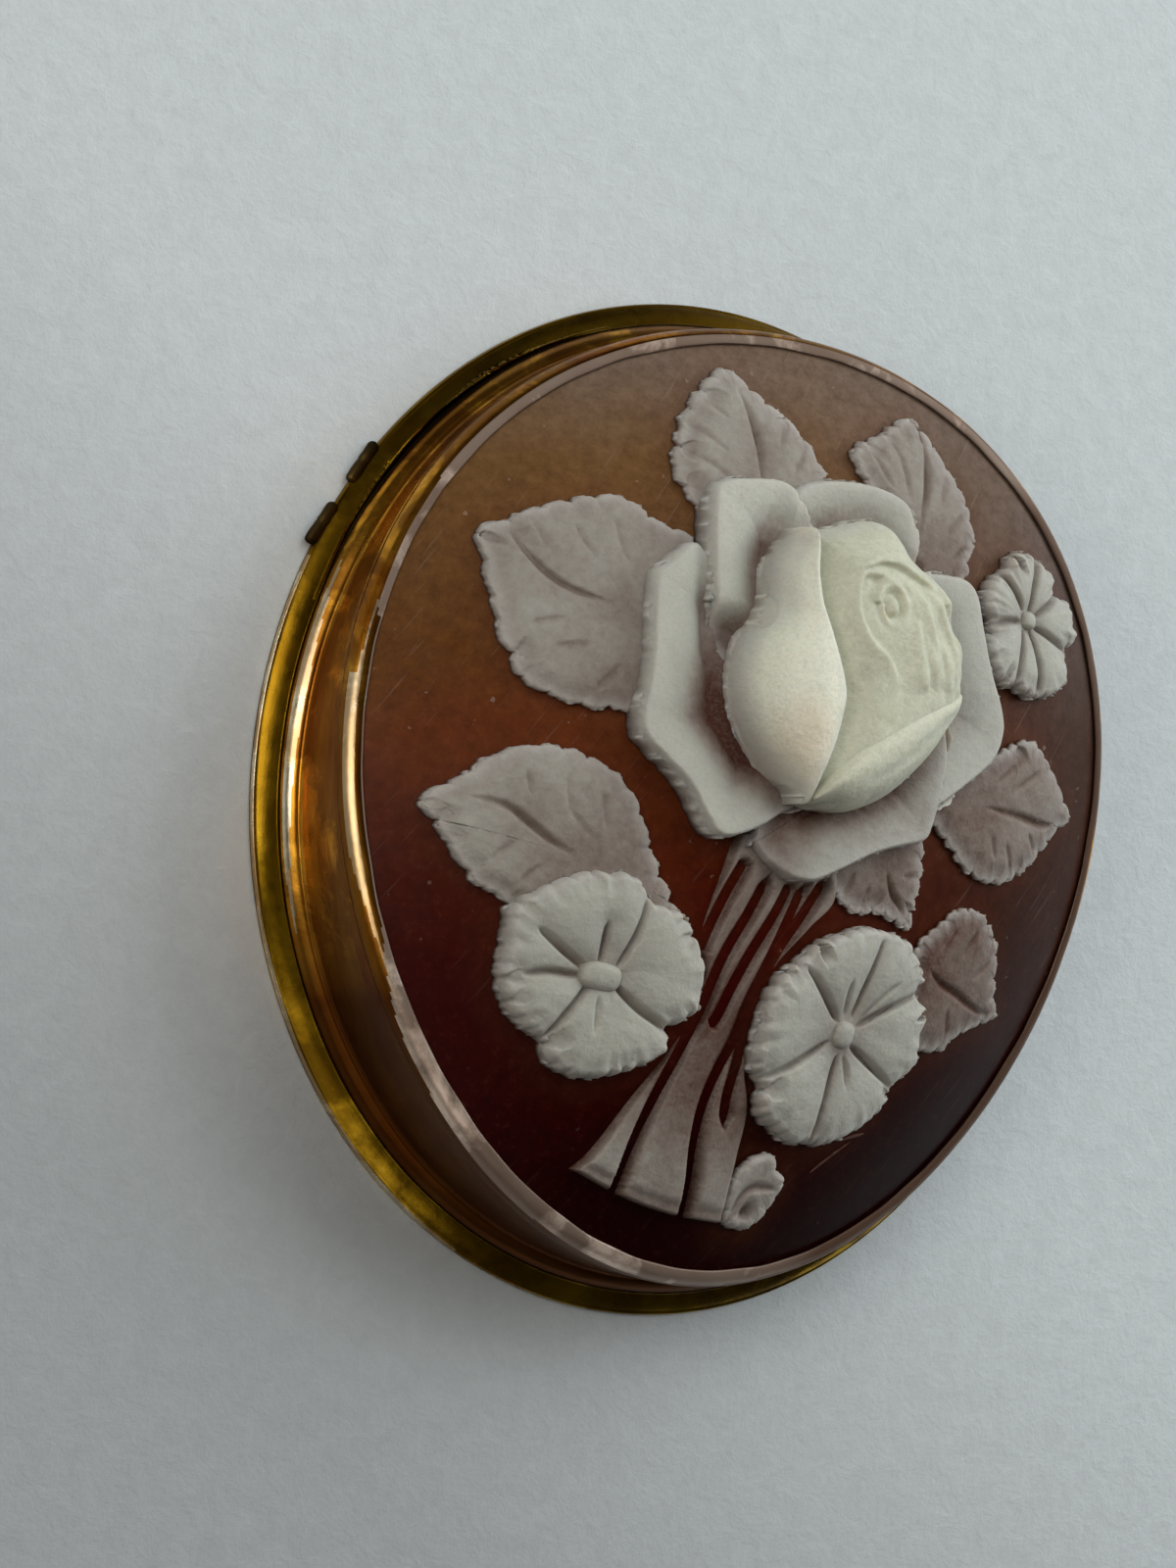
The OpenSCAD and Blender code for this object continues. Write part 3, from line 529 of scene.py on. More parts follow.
class Nodes:
    """Short way to build one procedural material."""

    def __init__(self, name):
        self.material = bpy.data.materials.new(name)
        self.material.use_nodes = True
        self.tree = self.material.node_tree
        self.shader = self.tree.nodes["Principled BSDF"]
        self.place = self.tree.nodes.new("ShaderNodeTexCoord").outputs["Object"]

    def new(self, kind):
        return self.tree.nodes.new("ShaderNode" + kind)

    def put(self, socket, value):
        """A constant is set on the socket itself, anything else is linked to it."""
        if isinstance(value, (int, float)):
            socket.default_value = value
        elif isinstance(value, tuple):
            socket.default_value = value if len(value) == len(socket.default_value) else (*value, 1)
        else:
            self.tree.links.new(value, socket)

    def shade(self, **values):
        """Sockets of the shader, with an underscore for each space in a name."""
        for name, value in values.items():
            self.put(self.shader.inputs[name.replace("_", " ")], value)

    def math(self, kind, a, b=0.0, clamp=False):
        node = self.new("Math")
        node.operation = kind
        node.use_clamp = clamp
        self.put(node.inputs[0], a)
        self.put(node.inputs[1], b)
        return node.outputs[0]

    def plus(self, a, b, clamp=False):
        return self.math("ADD", a, b, clamp)

    def minus(self, a, b, clamp=False):
        return self.math("SUBTRACT", a, b, clamp)

    def times(self, a, b, clamp=False):
        return self.math("MULTIPLY", a, b, clamp)

    def swing(self, value, size):
        """Noise between 0 and 1 turned into noise about 0."""
        return self.times(self.minus(value, 0.5), size)

    def noise_at(self, vector, detail, roughness=0.5, distortion=0.0):
        node = self.new("TexNoise")
        for name, value in zip(("Scale", "Detail", "Roughness", "Distortion"),
                               (1.0, detail, roughness, distortion)):
            node.inputs[name].default_value = value
        self.put(node.inputs["Vector"], vector)
        return node.outputs["Fac"]

    def noise(self, per_mm, detail=4.0, roughness=0.55, stretch=(1, 1, 1), distortion=0.0):
        mapping = self.new("Mapping")
        mapping.inputs["Scale"].default_value = [per_mm / MM * k for k in stretch]
        self.put(mapping.inputs["Vector"], self.place)
        return self.noise_at(mapping.outputs[0], detail, roughness, distortion)

    def vector(self, *parts):
        node = self.new("CombineXYZ")
        for socket, part in zip(node.inputs, parts):
            self.put(socket, part)
        return node.outputs[0]

    def ramp(self, value, stops):
        node = self.new("ValToRGB")
        elements = node.color_ramp.elements
        while len(elements) < len(stops):
            elements.new(0.5)
        for element, (place, color) in zip(elements, stops):
            element.position = place
            element.color = (*color, 1)
        self.put(node.inputs[0], value)
        return node.outputs[0]

    def rise(self, value, low, high):
        return self.ramp(value, [(low, BLACK), (high, WHITE)])

    def fall(self, value, low, high):
        return self.ramp(value, [(low, WHITE), (high, BLACK)])

    def mix(self, share, a, b, kind="MIX"):
        node = self.new("Mix")
        node.data_type = "RGBA"
        node.blend_type = kind
        for number, value in ((0, share), (6, a), (7, b)):
            self.put(node.inputs[number], value)
        return node.outputs[2]

    def bump(self, height, distance_mm, before=None):
        node = self.new("Bump")
        node.inputs["Strength"].default_value = 1.0
        node.inputs["Distance"].default_value = distance_mm * MM
        self.put(node.inputs["Height"], height)
        if before is not None:
            self.put(node.inputs["Normal"], before)
        return node.outputs[0]

    def attribute(self, name):
        node = self.new("Attribute")
        node.attribute_name = name
        return node.outputs["Fac"]

    def split(self):
        node = self.new("SeparateXYZ")
        self.put(node.inputs[0], self.place)
        return node.outputs

    def line(self, right, up, start=0.0):
        """Value that grows by right over HALF_W and by up over HALF_H, and is start in the middle."""
        x, y, _ = self.split()
        across, along_y = self.times(x, right / (HALF_W * MM)), self.times(y, up / (HALF_H * MM))
        return self.plus(self.plus(across, along_y), start)

    def over_ground(self):
        """Height over the brown ground in millimetres, from the dome's own formula."""
        x, y, z = self.split()
        s, t = self.times(x, 1 / (HALF_W * MM)), self.times(y, 1 / (HALF_H * MM))
        s2, t2 = self.times(s, s), self.times(t, t)
        dome = self.times(self.minus(self.minus(1.0, s2), t2), DOME_RISE)
        bend = self.plus(self.times(self.minus(s2, t2), SADDLE * math.cos(2 * BEND_TURN)),
                         self.times(self.times(s, t), 2 * SADDLE * math.sin(2 * BEND_TURN)))
        return self.minus(self.times(z, 1 / MM), self.plus(self.plus(dome, bend), RIM_Z))


def white_shell():
    """Carved white layer: where the white is shallow the brown ground shows through, where it is thick it is
    a pale yellowish white; painted shade darkens some pieces.
    """
    n = Nodes("white_shell")
    height = n.over_ground()
    grain = n.noise(2.6, 5, 0.65)
    # Painted shade: each piece's amount in mm is taken off its height before its colour is found, so that it
    # shows darker; a negative amount paints light
    seen = n.plus(n.plus(n.minus(height, n.attribute("thin")), n.swing(n.noise(0.30, 3), 0.55)),
                  n.swing(grain, 0.45))
    thick = n.times(seen, 1 / BUD_H, clamp=True)
    color = n.ramp(thick, [
        (0.00, (0.070, 0.018, 0.008)),
        (0.05, (0.130, 0.078, 0.060)),
        (0.12, (0.235, 0.190, 0.162)),
        (0.18, (0.335, 0.307, 0.268)),
        (0.25, (0.425, 0.418, 0.370)),
        (0.37, (0.525, 0.530, 0.460)),
        (0.60, (0.800, 0.810, 0.660)),
        (1.00, (0.940, 0.950, 0.790)),
    ])
    # Painted shade: the heart of the bud and the petal below it are darkened to a richer yellowish tone
    painted_shade_share = n.times(n.attribute("painted_shade_cream"), n.plus(n.times(grain, 0.8), 0.45))
    color = n.mix(painted_shade_share, color, (0.50, 0.50, 0.370))
    # A peach blush low on the bud's big petal, as the shell has it
    dx = n.line(1 / BLUSH_SIZE[0], 0, -BLUSH_AT[0] / BLUSH_SIZE[0])
    dy = n.line(0, 1 / BLUSH_SIZE[1], -BLUSH_AT[1] / BLUSH_SIZE[1])
    away = n.plus(n.times(dx, dx), n.times(dy, dy))
    blush = n.times(n.minus(1.0, n.math("POWER", away, 0.8), clamp=True), 0.55)
    color = n.mix(n.times(blush, thick), color, (0.80, 0.60, 0.42))
    fine = n.fall(n.noise(6.5, 4, 0.7), 0.30, 0.55)
    color = n.mix(n.times(fine, 0.22), color, (0.30, 0.27, 0.225))
    # The graver leaves the edges frosty, and a painted highlight along every carved edge brightens them
    frost_and_highlight = n.times(n.attribute("frost_and_highlight"), n.plus(n.noise(0.9, 4, 0.7), 0.10))
    frost_and_highlight = n.times(frost_and_highlight, n.rise(height, 0.02, 0.22))
    color = n.mix(n.times(frost_and_highlight, 0.9, clamp=True), color, (0.56, 0.54, 0.50))
    tool = n.bump(n.noise(1.3, 4, 0.6), 0.10)
    n.shade(Base_Color=color, Roughness=n.plus(n.times(grain, 0.25), 0.36), Specular_IOR_Level=0.30,
            Subsurface_Weight=0.30, Subsurface_Radius=(1.0, 0.7, 0.45), Subsurface_Scale=0.45 * MM,
            Normal=n.bump(n.noise(5.0, 5, 0.7), 0.034, tool))
    return n.material


def brown_shell():
    """Polished brown under-layer: painted shade makes it dark at the foot and amber above, painted reflection
    makes it grey at the top, with a film by the carving.
    """
    n = Nodes("brown_shell")
    up = n.line(0, 0.5, 0.5)
    drift = n.swing(n.noise(0.07, 3), 0.22)
    # Painted shade and painted reflection: dark at the foot, amber above and greyer at the top
    color = n.ramp(n.plus(n.line(-0.10, 0.5, 0.5), drift, clamp=True), [
        (0.04, (0.011, 0.0002, 0.0001)),
        (0.19, (0.026, 0.0007, 0.0004)),
        (0.30, (0.040, 0.0013, 0.0006)),
        (0.38, (0.058, 0.0050, 0.0005)),
        (0.46, (0.080, 0.0110, 0.0008)),
        (0.55, (0.125, 0.0260, 0.0030)),
        (0.65, (0.124, 0.0410, 0.0050)),
        (0.87, (0.160, 0.0780, 0.0240)),
        (1.00, (0.170, 0.1150, 0.0800)),
    ])
    # Painted reflection and painted shade on the right side: grey above, wine red in the middle and black at
    # the foot
    painted_side = n.ramp(up, [
        (0.18, (0.008, 0.0003, 0.0002)),
        (0.28, (0.015, 0.0010, 0.0006)),
        (0.50, (0.042, 0.0130, 0.0070)),
        (0.66, (0.060, 0.0270, 0.0170)),
        (0.93, (0.145, 0.1120, 0.0960)),
    ])
    color = n.mix(n.rise(n.plus(n.line(1, 0), drift), 0.00, 0.75), color, painted_side)
    # A thin film of white is left in patches round the carving
    film = n.times(n.attribute("film"), n.plus(n.times(n.noise(1.1, 4, 0.7), 0.9), 0.05))
    color = n.mix(n.times(film, 0.38), color, (0.130, 0.036, 0.012))
    fleck = n.rise(n.noise(3.0, 4, 0.75), 0.56, 0.72)
    color = n.mix(n.times(fleck, 0.12), color, (0.13, 0.055, 0.028))
    mottle = n.ramp(n.noise(1.5, 6, 0.8), [(0.34, (0.74, 0.70, 0.66)), (0.66, (1.20, 1.24, 1.30))])
    color = n.mix(1.0, color, mottle, "MULTIPLY")
    # Long fine scratches slantwise, and a few pale specks
    x, y, _ = n.split()
    run, across = n.plus(n.times(x, 0.5), n.times(y, 0.87)), n.minus(n.times(x, 0.87), n.times(y, 0.5))
    slant = n.vector(n.times(run, 0.22 / MM), n.times(across, 4.5 / MM))
    scratch = n.times(n.rise(n.noise_at(slant, 3.0), 0.64, 0.70), 0.16)
    speck = n.times(n.rise(n.noise(2.6, 2, 0.5), 0.73, 0.76), 0.45)
    marks = n.times(n.math("MAXIMUM", scratch, speck), n.ramp(up, [(0.2, (0.15, 0.15, 0.15)), (0.6, WHITE)]))
    color = n.mix(marks, color, (0.34, 0.24, 0.19))
    hair = n.rise(n.noise(0.30, 7, 0.85, (1.0, 9.0, 1.0), 0.5), 0.40, 0.62)
    haze = n.bump(n.noise(1.6, 5, 0.6), 0.0025)
    n.shade(Base_Color=color, Roughness=n.plus(n.times(n.noise(0.8, 4), 0.16), 0.26),
            Specular_IOR_Level=0.12, Normal=n.bump(hair, 0.0018, haze))
    return n.material


def streaks(n, seed, along_mm, across_mm, detail=4.0):
    """Noise drawn out along the oval setting: slow round it, quick across it."""
    x, y, z = n.split()
    s, t = n.times(x, 1 / (HALF_W * MM)), n.times(y, 1 / (HALF_H * MM))
    reach = n.math("SQRT", n.plus(n.times(s, s), n.times(t, t)))
    across = n.plus(n.times(reach, HALF_W / across_mm), n.times(z, 0.8 / (across_mm * MM)))
    place = n.vector(n.times(x, 1 / (along_mm * MM)), n.times(y, 1 / (along_mm * MM)),
                     n.plus(across, float(seed)))
    return n.noise_at(place, detail, 0.6)


def gold(name, bright, dark, stain_and_shade_color, roughness, stain, seed, painted_side=None, metal=1.0):
    """Worn low-carat gold: streaks of two tones along it, brown stains, fine rubbing marks.

    The argument after seed is one side darkened with painted shade: its direction to the right and up,
    where the shade starts and is full along it, and its share.
    """
    n = Nodes(name)
    tone = n.ramp(streaks(n, seed, 5.0, 1.1), [(0.34, dark), (0.64, bright)])
    patch = n.fall(n.noise(0.22, 5, 0.65, distortion=0.4), 0.52 - 0.30 * stain, 0.64 - 0.22 * stain)
    spots = n.fall(n.noise(2.4, 4, 0.7), 0.30, 0.42)
    stains_and_shade = n.math("MAXIMUM", n.times(patch, 0.75), n.times(spots, 0.6 * stain))
    # Painted shade: one side is mixed towards the stain colour
    if painted_side:
        right, up, start, full, share = painted_side
        side = n.ramp(n.line(right, up), [(start, BLACK), (full, (share, share, share))])
        stains_and_shade = n.math("MAXIMUM", stains_and_shade, side)
    rough = n.plus(n.times(n.noise(0.9, 4), 0.20), roughness - 0.10)
    dents = n.bump(n.noise(0.32, 3, 0.5), 0.07)
    rubbed = n.bump(streaks(n, seed + 7, 2.2, 0.16, 5.0), 0.010, dents)
    n.shade(Base_Color=n.mix(stains_and_shade, tone, stain_and_shade_color), Metallic=metal,
            Roughness=n.plus(rough, n.times(stains_and_shade, 0.18)),
            Normal=n.bump(n.noise(4.0, 5, 0.7), 0.006, rubbed))
    return n.material


# columns: name, bright colour, dark colour, colour of stains and of painted shade, roughness, share
# of stains, seed, then where they are given the side darkened by painted shade and the metal share
GOLDS = [
    ("gold_flange", (0.70, 0.42, 0.022), (0.38, 0.20, 0.006), (0.10, 0.045, 0.003), 0.15, 0.18, 3,
     (-0.6, 0.8, 0.0, 0.55, 0.70)),
    # Pale bright gold that paints highlights on the flange's edge, the bead and the lip's line
    ("gold_rim", (0.97, 0.88, 0.68), (0.85, 0.68, 0.42), (0.30, 0.16, 0.04), 0.20, 0.10, 5),
    ("gold_wall", (0.92, 0.46, 0.050), (0.50, 0.17, 0.010), (0.070, 0.012, 0.003), 0.20, 0.08, 9,
     (0.2, -1.0, 0.08, 0.42, 0.93)),
    ("gold_lip", (0.98, 0.80, 0.66), (0.78, 0.59, 0.47), (0.10, 0.045, 0.022), 0.22, 0.0, 13,
     (1.0, -0.1, 0.00, 0.55, 0.95), 0.45),
    ("gold_inside", (0.34, 0.21, 0.06), (0.16, 0.09, 0.02), (0.04, 0.02, 0.005), 0.42, 0.20, 17),
    # Nearly black: painted shade inside the open seam, with some dark staining
    ("gold_seam", (0.05, 0.03, 0.01), (0.02, 0.01, 0.003), (0.01, 0.005, 0.002), 0.60, 0.10, 19),
]
HINGE_GOLD = ("gold_hinge", (0.060, 0.038, 0.012), (0.030, 0.018, 0.006), (0.01, 0.006, 0.002), 0.55, 0.30,
              23)
PIN_GOLD = ("gold_pin", (0.70, 0.55, 0.28), (0.45, 0.33, 0.14), (0.1, 0.06, 0.02), 0.30, 0.10, 21)


def paper():
    """Pale drawing paper with a fine tooth and a few stray fibres, with painted shade greying it towards its
    lower left.
    """
    n = Nodes("pale_paper")
    tooth = n.plus(n.times(n.noise(0.9, 5, 0.6, distortion=0.5), 0.6), n.times(n.noise(3.2, 5, 0.7), 0.4))
    color = n.ramp(tooth, [(0.30, (0.58, 0.62, 0.63)), (0.70, (0.66, 0.71, 0.72))])
    x, y, _ = n.split()
    # Painted shade: the paper greys towards its lower left
    across = n.plus(n.times(x, 0.010 / MM), n.times(y, 0.017 / MM))
    grey = n.mix(1.0, color, (0.68, 0.67, 0.67), "MULTIPLY")
    color = n.mix(n.fall(n.plus(across, 0.62), 0.0, 0.62), color, grey)
    fibre = n.rise(n.noise(0.35, 2, 0.5, (1.0, 6.0, 1.0)), 0.70, 0.78)
    color = n.mix(n.times(fibre, 0.12), color, (0.40, 0.43, 0.46))
    n.shade(Base_Color=color, Roughness=0.9, Specular_IOR_Level=0.2, Normal=n.bump(tooth, 0.11))
    return n.material


# Setting

def setting_section(turn):
    """Section of the setting at a direction in radians, as offsets outwards and heights."""
    gap = np.abs((np.degrees(turn) - SEAM_TURN + 540) % 360 - 180)
    bump = np.where(gap < SEAM_SPAN, (1 + np.cos(np.pi * gap / SEAM_SPAN)) / 2, 0)
    opening = SEAM_LINE + (1 - SEAM_LINE) * bump
    edge_z = ground(*station(turn, 0))
    wall_top = edge_z - LIP_H
    step_top = FLANGE_TOP + STEP_H
    under_out = ground(*station(turn, WALL_IN))
    carry_out = under_out - GROUND_T - SEAT_GAP
    carry_in = ground(*station(turn, -BEARER_W)) - GROUND_T - SEAT_GAP
    return [
        (FLANGE_OUT, 0.0),
        (FLANGE_OUT, FLANGE_EDGE),
        (FLANGE_OUT - 0.35 * FLANGE_W, FLANGE_EDGE + 0.6 * FLANGE_RISE),
        (STEP_OUT + SEAM_W * opening, FLANGE_TOP),
        (STEP_OUT + SEAM_W * opening / 2, FLANGE_TOP - SEAM_D * opening),
        (STEP_OUT, FLANGE_TOP),
        (STEP_OUT, step_top - STEP_W / 2),
        (WALL_OUT, step_top),
        (WALL_OUT - COVE, (step_top + wall_top) / 2),
        (WALL_OUT, wall_top),
        (WALL_OUT, wall_top + LIP_H / 2),
        (WALL_IN + SHEET_T / 2, edge_z - LIP_H * 0.1),
        (LIP_COVER / 2, edge_z + SEAT_GAP + SHEET_T * 0.55),
        (0.0, edge_z + SEAT_GAP + SHEET_T * 0.4),
        (0.0, edge_z + SEAT_GAP),
        (WALL_IN, under_out + SEAT_GAP),
        (WALL_IN, carry_out),
        (-BEARER_W, carry_in),
        (-BEARER_W, carry_in - SHEET_T),
        (WALL_IN, carry_out - SHEET_T),
        (WALL_IN, 0.0),
    ]


# Materials of the setting, in the order of its slots
FLANGE, PAINTED_HIGHLIGHT, WALL, LIP, INSIDE, SEAM_SHADE = range(6)
# The finish of each stretch of the section
SECTION_ZONES = [FLANGE] * 3 + [SEAM_SHADE] * 2 + [PAINTED_HIGHLIGHT] + [WALL] * 3 + [LIP] * 5 + [INSIDE] * 7
# Places in the section: the flange's edge and slope, the seam, the bead, the wall and the lip
EDGE, SLOPE, SEAM_PLACES, BEAD, BEAD_END, WALL_FOOT, LIP_FOOT = 1, 2, (3, 4, 5), 6, 7, 8, 9
FOLDED = (10, 11, 12, 13)
# Shares of the way round the lip's fold, a ring at each
ROLL = np.linspace(0, 1, 14)
EDGE_ROUND = 0.12
SLOPE_ROUND = (0.34, 0.42)
CORNER_ROUNDS = (0.10, 0.04)
WALL_HOLLOW = (-0.15, 0.32)


def bead_rings(low, high):
    """The bead, round on top, and the hollow at the foot of the wall that rises from it."""
    for a in np.linspace(0.06, 0.5 * np.pi, 14):
        point = low + (high - low) * np.array([1 - np.cos(a) ** 1.35, np.sin(a) ** 1.35])
        # The top of the bead's round takes the painted highlight
        yield point, PAINTED_HIGHLIGHT if 0.4 < a < 1.15 else WALL
    for a in np.linspace(0.15, 0.5 * np.pi, 8):
        yield high + np.array(WALL_HOLLOW) * [np.sin(a), 1 - np.cos(a)], WALL


def wall_rings(low, high):
    """The rest of the hollow wall up to the lip."""
    for k in np.linspace(0.06, 0.94, 10):
        yield low + (high - low) * np.array([k ** 1.8, k]), WALL


def lip_rings(here, edge_z):
    """A dark line below the lip, then the lip's roll up and over the shell."""
    yield here + [-0.05, -0.03], WALL
    yield here + [-0.05, 0.02], WALL
    foot = here[:, 1] + 0.04
    top = edge_z + SEAT_GAP + SHEET_T * 0.40
    for a in ROLL:
        out = WALL_OUT * (1 - a ** 1.6) + 0.035 * np.sin(np.pi * a)
        up = foot + (top - foot) * np.sin(np.pi / 2 * a) ** 0.85
        yield np.stack([np.broadcast_to(out, up.shape), up], -1), LIP


def rolled_rings(here, back, ahead, sizes, zone):
    """A soft round of the flange, from one side of a corner to the other."""
    start = back / np.linalg.norm(back, axis=1)[:, None] * sizes[0]
    stop = ahead / np.linalg.norm(ahead, axis=1)[:, None] * sizes[1]
    for k in np.linspace(0, 1, 8):
        yield here + start * (1 - k) ** 2 + stop * k ** 2, zone if k < 0.9 else FLANGE


def corner_rings(here, back, ahead, zones):
    """A corner with its edge just taken off."""
    for side, size, zone in ((back, CORNER_ROUNDS[0], zones[0]), (back, CORNER_ROUNDS[1], zones[0]),
                             (ahead, CORNER_ROUNDS[1], zones[1]), (ahead, CORNER_ROUNDS[0], zones[1])):
        length = np.linalg.norm(side, axis=1)[:, None]
        yield here + side / np.maximum(length, 1e-6) * np.minimum(size, 0.3 * length), zone


def fine_section(turn):
    """Section of the setting with rounded edges, a bead at the wall's foot and a rolled lip."""
    rough = [np.stack(np.broadcast_arrays(*p, turn)[:2], -1) for p in setting_section(turn)]
    # The seam lies outside the bead, down the flange's slope
    for i in SEAM_PLACES:
        rough[i] = rough[i] + [BEAD_W, -0.31 * BEAD_W]
    rings = []
    for i, here in enumerate(rough):
        back, ahead = rough[i - 1] - here, rough[(i + 1) % len(rough)] - here
        if i == BEAD:
            rings += bead_rings(rough[i - 1], rough[BEAD_END] + [-0.03, BEAD_TOP])
        elif i == WALL_FOOT:
            rings += wall_rings(rough[BEAD_END] + [-0.18, BEAD_TOP + 0.32], rough[i + 1])
        elif i == LIP_FOOT:
            rings += lip_rings(here, ground(*station(turn, 0)))
        elif i == EDGE:
            # The flange's outer edge takes the painted highlight
            rings += rolled_rings(here, back, ahead, (EDGE_ROUND, EDGE_ROUND), PAINTED_HIGHLIGHT)
        elif i == SLOPE:
            rings += rolled_rings(here, back, ahead, SLOPE_ROUND, FLANGE)
        elif i != BEAD_END and i not in FOLDED:
            rings += corner_rings(here, back, ahead, (SECTION_ZONES[i - 1], SECTION_ZONES[i]))
    points, zones = zip(*rings)
    return np.array(points), np.array(zones)


# Where the lip's pale band starts, and where its bright line, a painted glint, does, as shares of its roll
# columns: direction in degrees, share
PALE_FROM = [(0, 0.62), (152, 0.62), (170, 0.88), (203, 0.88), (212, 0.50), (225, 0.16), (270, 0.22),
             (300, 0.50), (360, 0.62)]
GLINT_FROM = [(0, 0.90), (158, 0.66), (176, 0.22), (196, 0.22), (222, 0.66), (360, 0.90)]
GLINT_TO = 0.62
# Directions between which the flange's edge and the bead get a painted highlight
EDGE_BRIGHT = (163, 250)
BEAD_BRIGHT = (161, 207)
# The rings that hold the flange's outer edge come before this one
OUTER_RINGS = 14


def finishes(zones, turn):
    """Material of each stretch of the setting; only its left side gets the painted highlight."""
    degrees = np.degrees(turn)[None, :]
    number = np.arange(len(zones))
    finish = np.repeat(zones[:, None], len(turn), 1)
    outer = (number < OUTER_RINGS)[:, None]
    # The bead's painted highlight tapers away from its middle ring
    off = np.abs(number - number[(number >= OUTER_RINGS) & (zones == PAINTED_HIGHLIGHT)].mean())[:, None]
    bead = (degrees > BEAD_BRIGHT[0] + 3 * off) & (degrees < BEAD_BRIGHT[1] - 5 * off)
    edge = (degrees > EDGE_BRIGHT[0]) & (degrees < EDGE_BRIGHT[1])
    finish = np.where((finish == PAINTED_HIGHLIGHT) & ~outer & ~bead, WALL, finish)
    finish = np.where((finish == PAINTED_HIGHLIGHT) & outer & ~edge, FLANGE, finish)
    pale_from = curve(*zip(*PALE_FROM), degrees)
    glint_from = curve(*zip(*GLINT_FROM), degrees)
    roll = ROLL[:, None]
    shown = np.where(roll > pale_from, LIP, WALL)
    folded = np.flatnonzero(zones == LIP)[:len(ROLL)]
    finish[folded] = np.where((roll > glint_from) & (roll < GLINT_TO), PAINTED_HIGHLIGHT, shown)
    return finish


def build_setting(materials):
    """Gold ring, with the unevenness of hand work: dents in the wall, a wavy lip and flange."""
    stations = 384
    turn = np.linspace(0, 2 * np.pi, stations, endpoint=False)
    rings, zones = fine_section(turn)
    out, z = rings[..., 0].copy(), rings[..., 1].copy()
    rng = np.random.default_rng(11)
    dents = sum(rng.uniform(-1, 1) * np.sin(k * turn + rng.uniform(0, 6)) / k ** 0.5
                for k in (5, 8, 11, 17, 23, 31))
    wall = (z > FLANGE_TOP + STEP_H) & (out > 0.02)
    out = out - 0.022 * (1 + dents) * wall
    lip = (out < 0.35) & (z > RIM_Z - SADDLE) & (zones[:, None] == LIP)
    waves = sum(np.sin(k * turn + rng.uniform(0, 6)) for k in (13, 21, 34, 47)) / 4
    out = out + 0.035 * waves * lip
    flange = (zones[:, None] == FLANGE) & (z > FLANGE_EDGE)
    z = z - 0.03 * (1 + np.roll(dents, 40)) * flange
    x, y = station(turn[None, :], out)
    faces = grid_faces(len(rings), stations, flip=True, wrap=True, close=True)
    obj = gold_piece("gold_setting", np.stack([x, y, z], -1).reshape(-1, 3), faces, materials[0])
    for material in materials[1:]:
        obj.data.materials.append(material)
    obj.data.polygons.foreach_set("material_index", finishes(zones, turn).ravel())


def tube(points, radius, sides):
    """Round wire along a closed list of points."""
    points = np.asarray(points, float)
    ahead = np.roll(points, -1, 0) - np.roll(points, 1, 0)
    ahead /= np.linalg.norm(ahead, axis=1)[:, None]
    side = np.cross(ahead, (0.3, 0.5, 0.8))
    side /= np.linalg.norm(side, axis=1)[:, None]
    other = np.cross(ahead, side)
    a = np.linspace(0, 2 * np.pi, sides, endpoint=False)
    verts = (points[:, None] + radius * (np.cos(a)[None, :, None] * side[:, None]
                                         + np.sin(a)[None, :, None] * other[:, None]))
    return verts.reshape(-1, 3), grid_faces(len(points), sides, wrap=True, close=True)


# Rows along a hinge knuckle: rounded ends and a waist line
# columns: share of its half length, share of its radius
KNUCKLE_ROWS = [(-1, 0.45), (-0.93, 0.80), (-0.80, 1), (-0.35, 0.92), (-0.1, 1), (0, 0.86), (0.15, 0.97),
                (0.6, 1), (0.82, 0.94), (0.95, 0.78), (1, 0.45)]
# Only the knuckles' lower outer part looks out past the flange
KNUCKLE_SHOWN = 0.48


def bevelled_box(name, size, matrix, width, material):
    """Small block with rounded edges, in millimetres, standing for part of the setting."""
    half = np.array(size) / 2
    corners = [(x, y, z) for x in (-1, 1) for y in (-1, 1) for z in (-1, 1)]
    verts = [matrix @ Vector(half * c) for c in corners]
    faces = [(0, 1, 3, 2), (4, 6, 7, 5), (0, 4, 5, 1), (2, 3, 7, 6), (0, 2, 6, 4), (1, 5, 7, 3)]
    bevel = gold_piece(name, verts, faces, material).modifiers.new("rounded", "BEVEL")
    bevel.width, bevel.segments = width * MM, 3


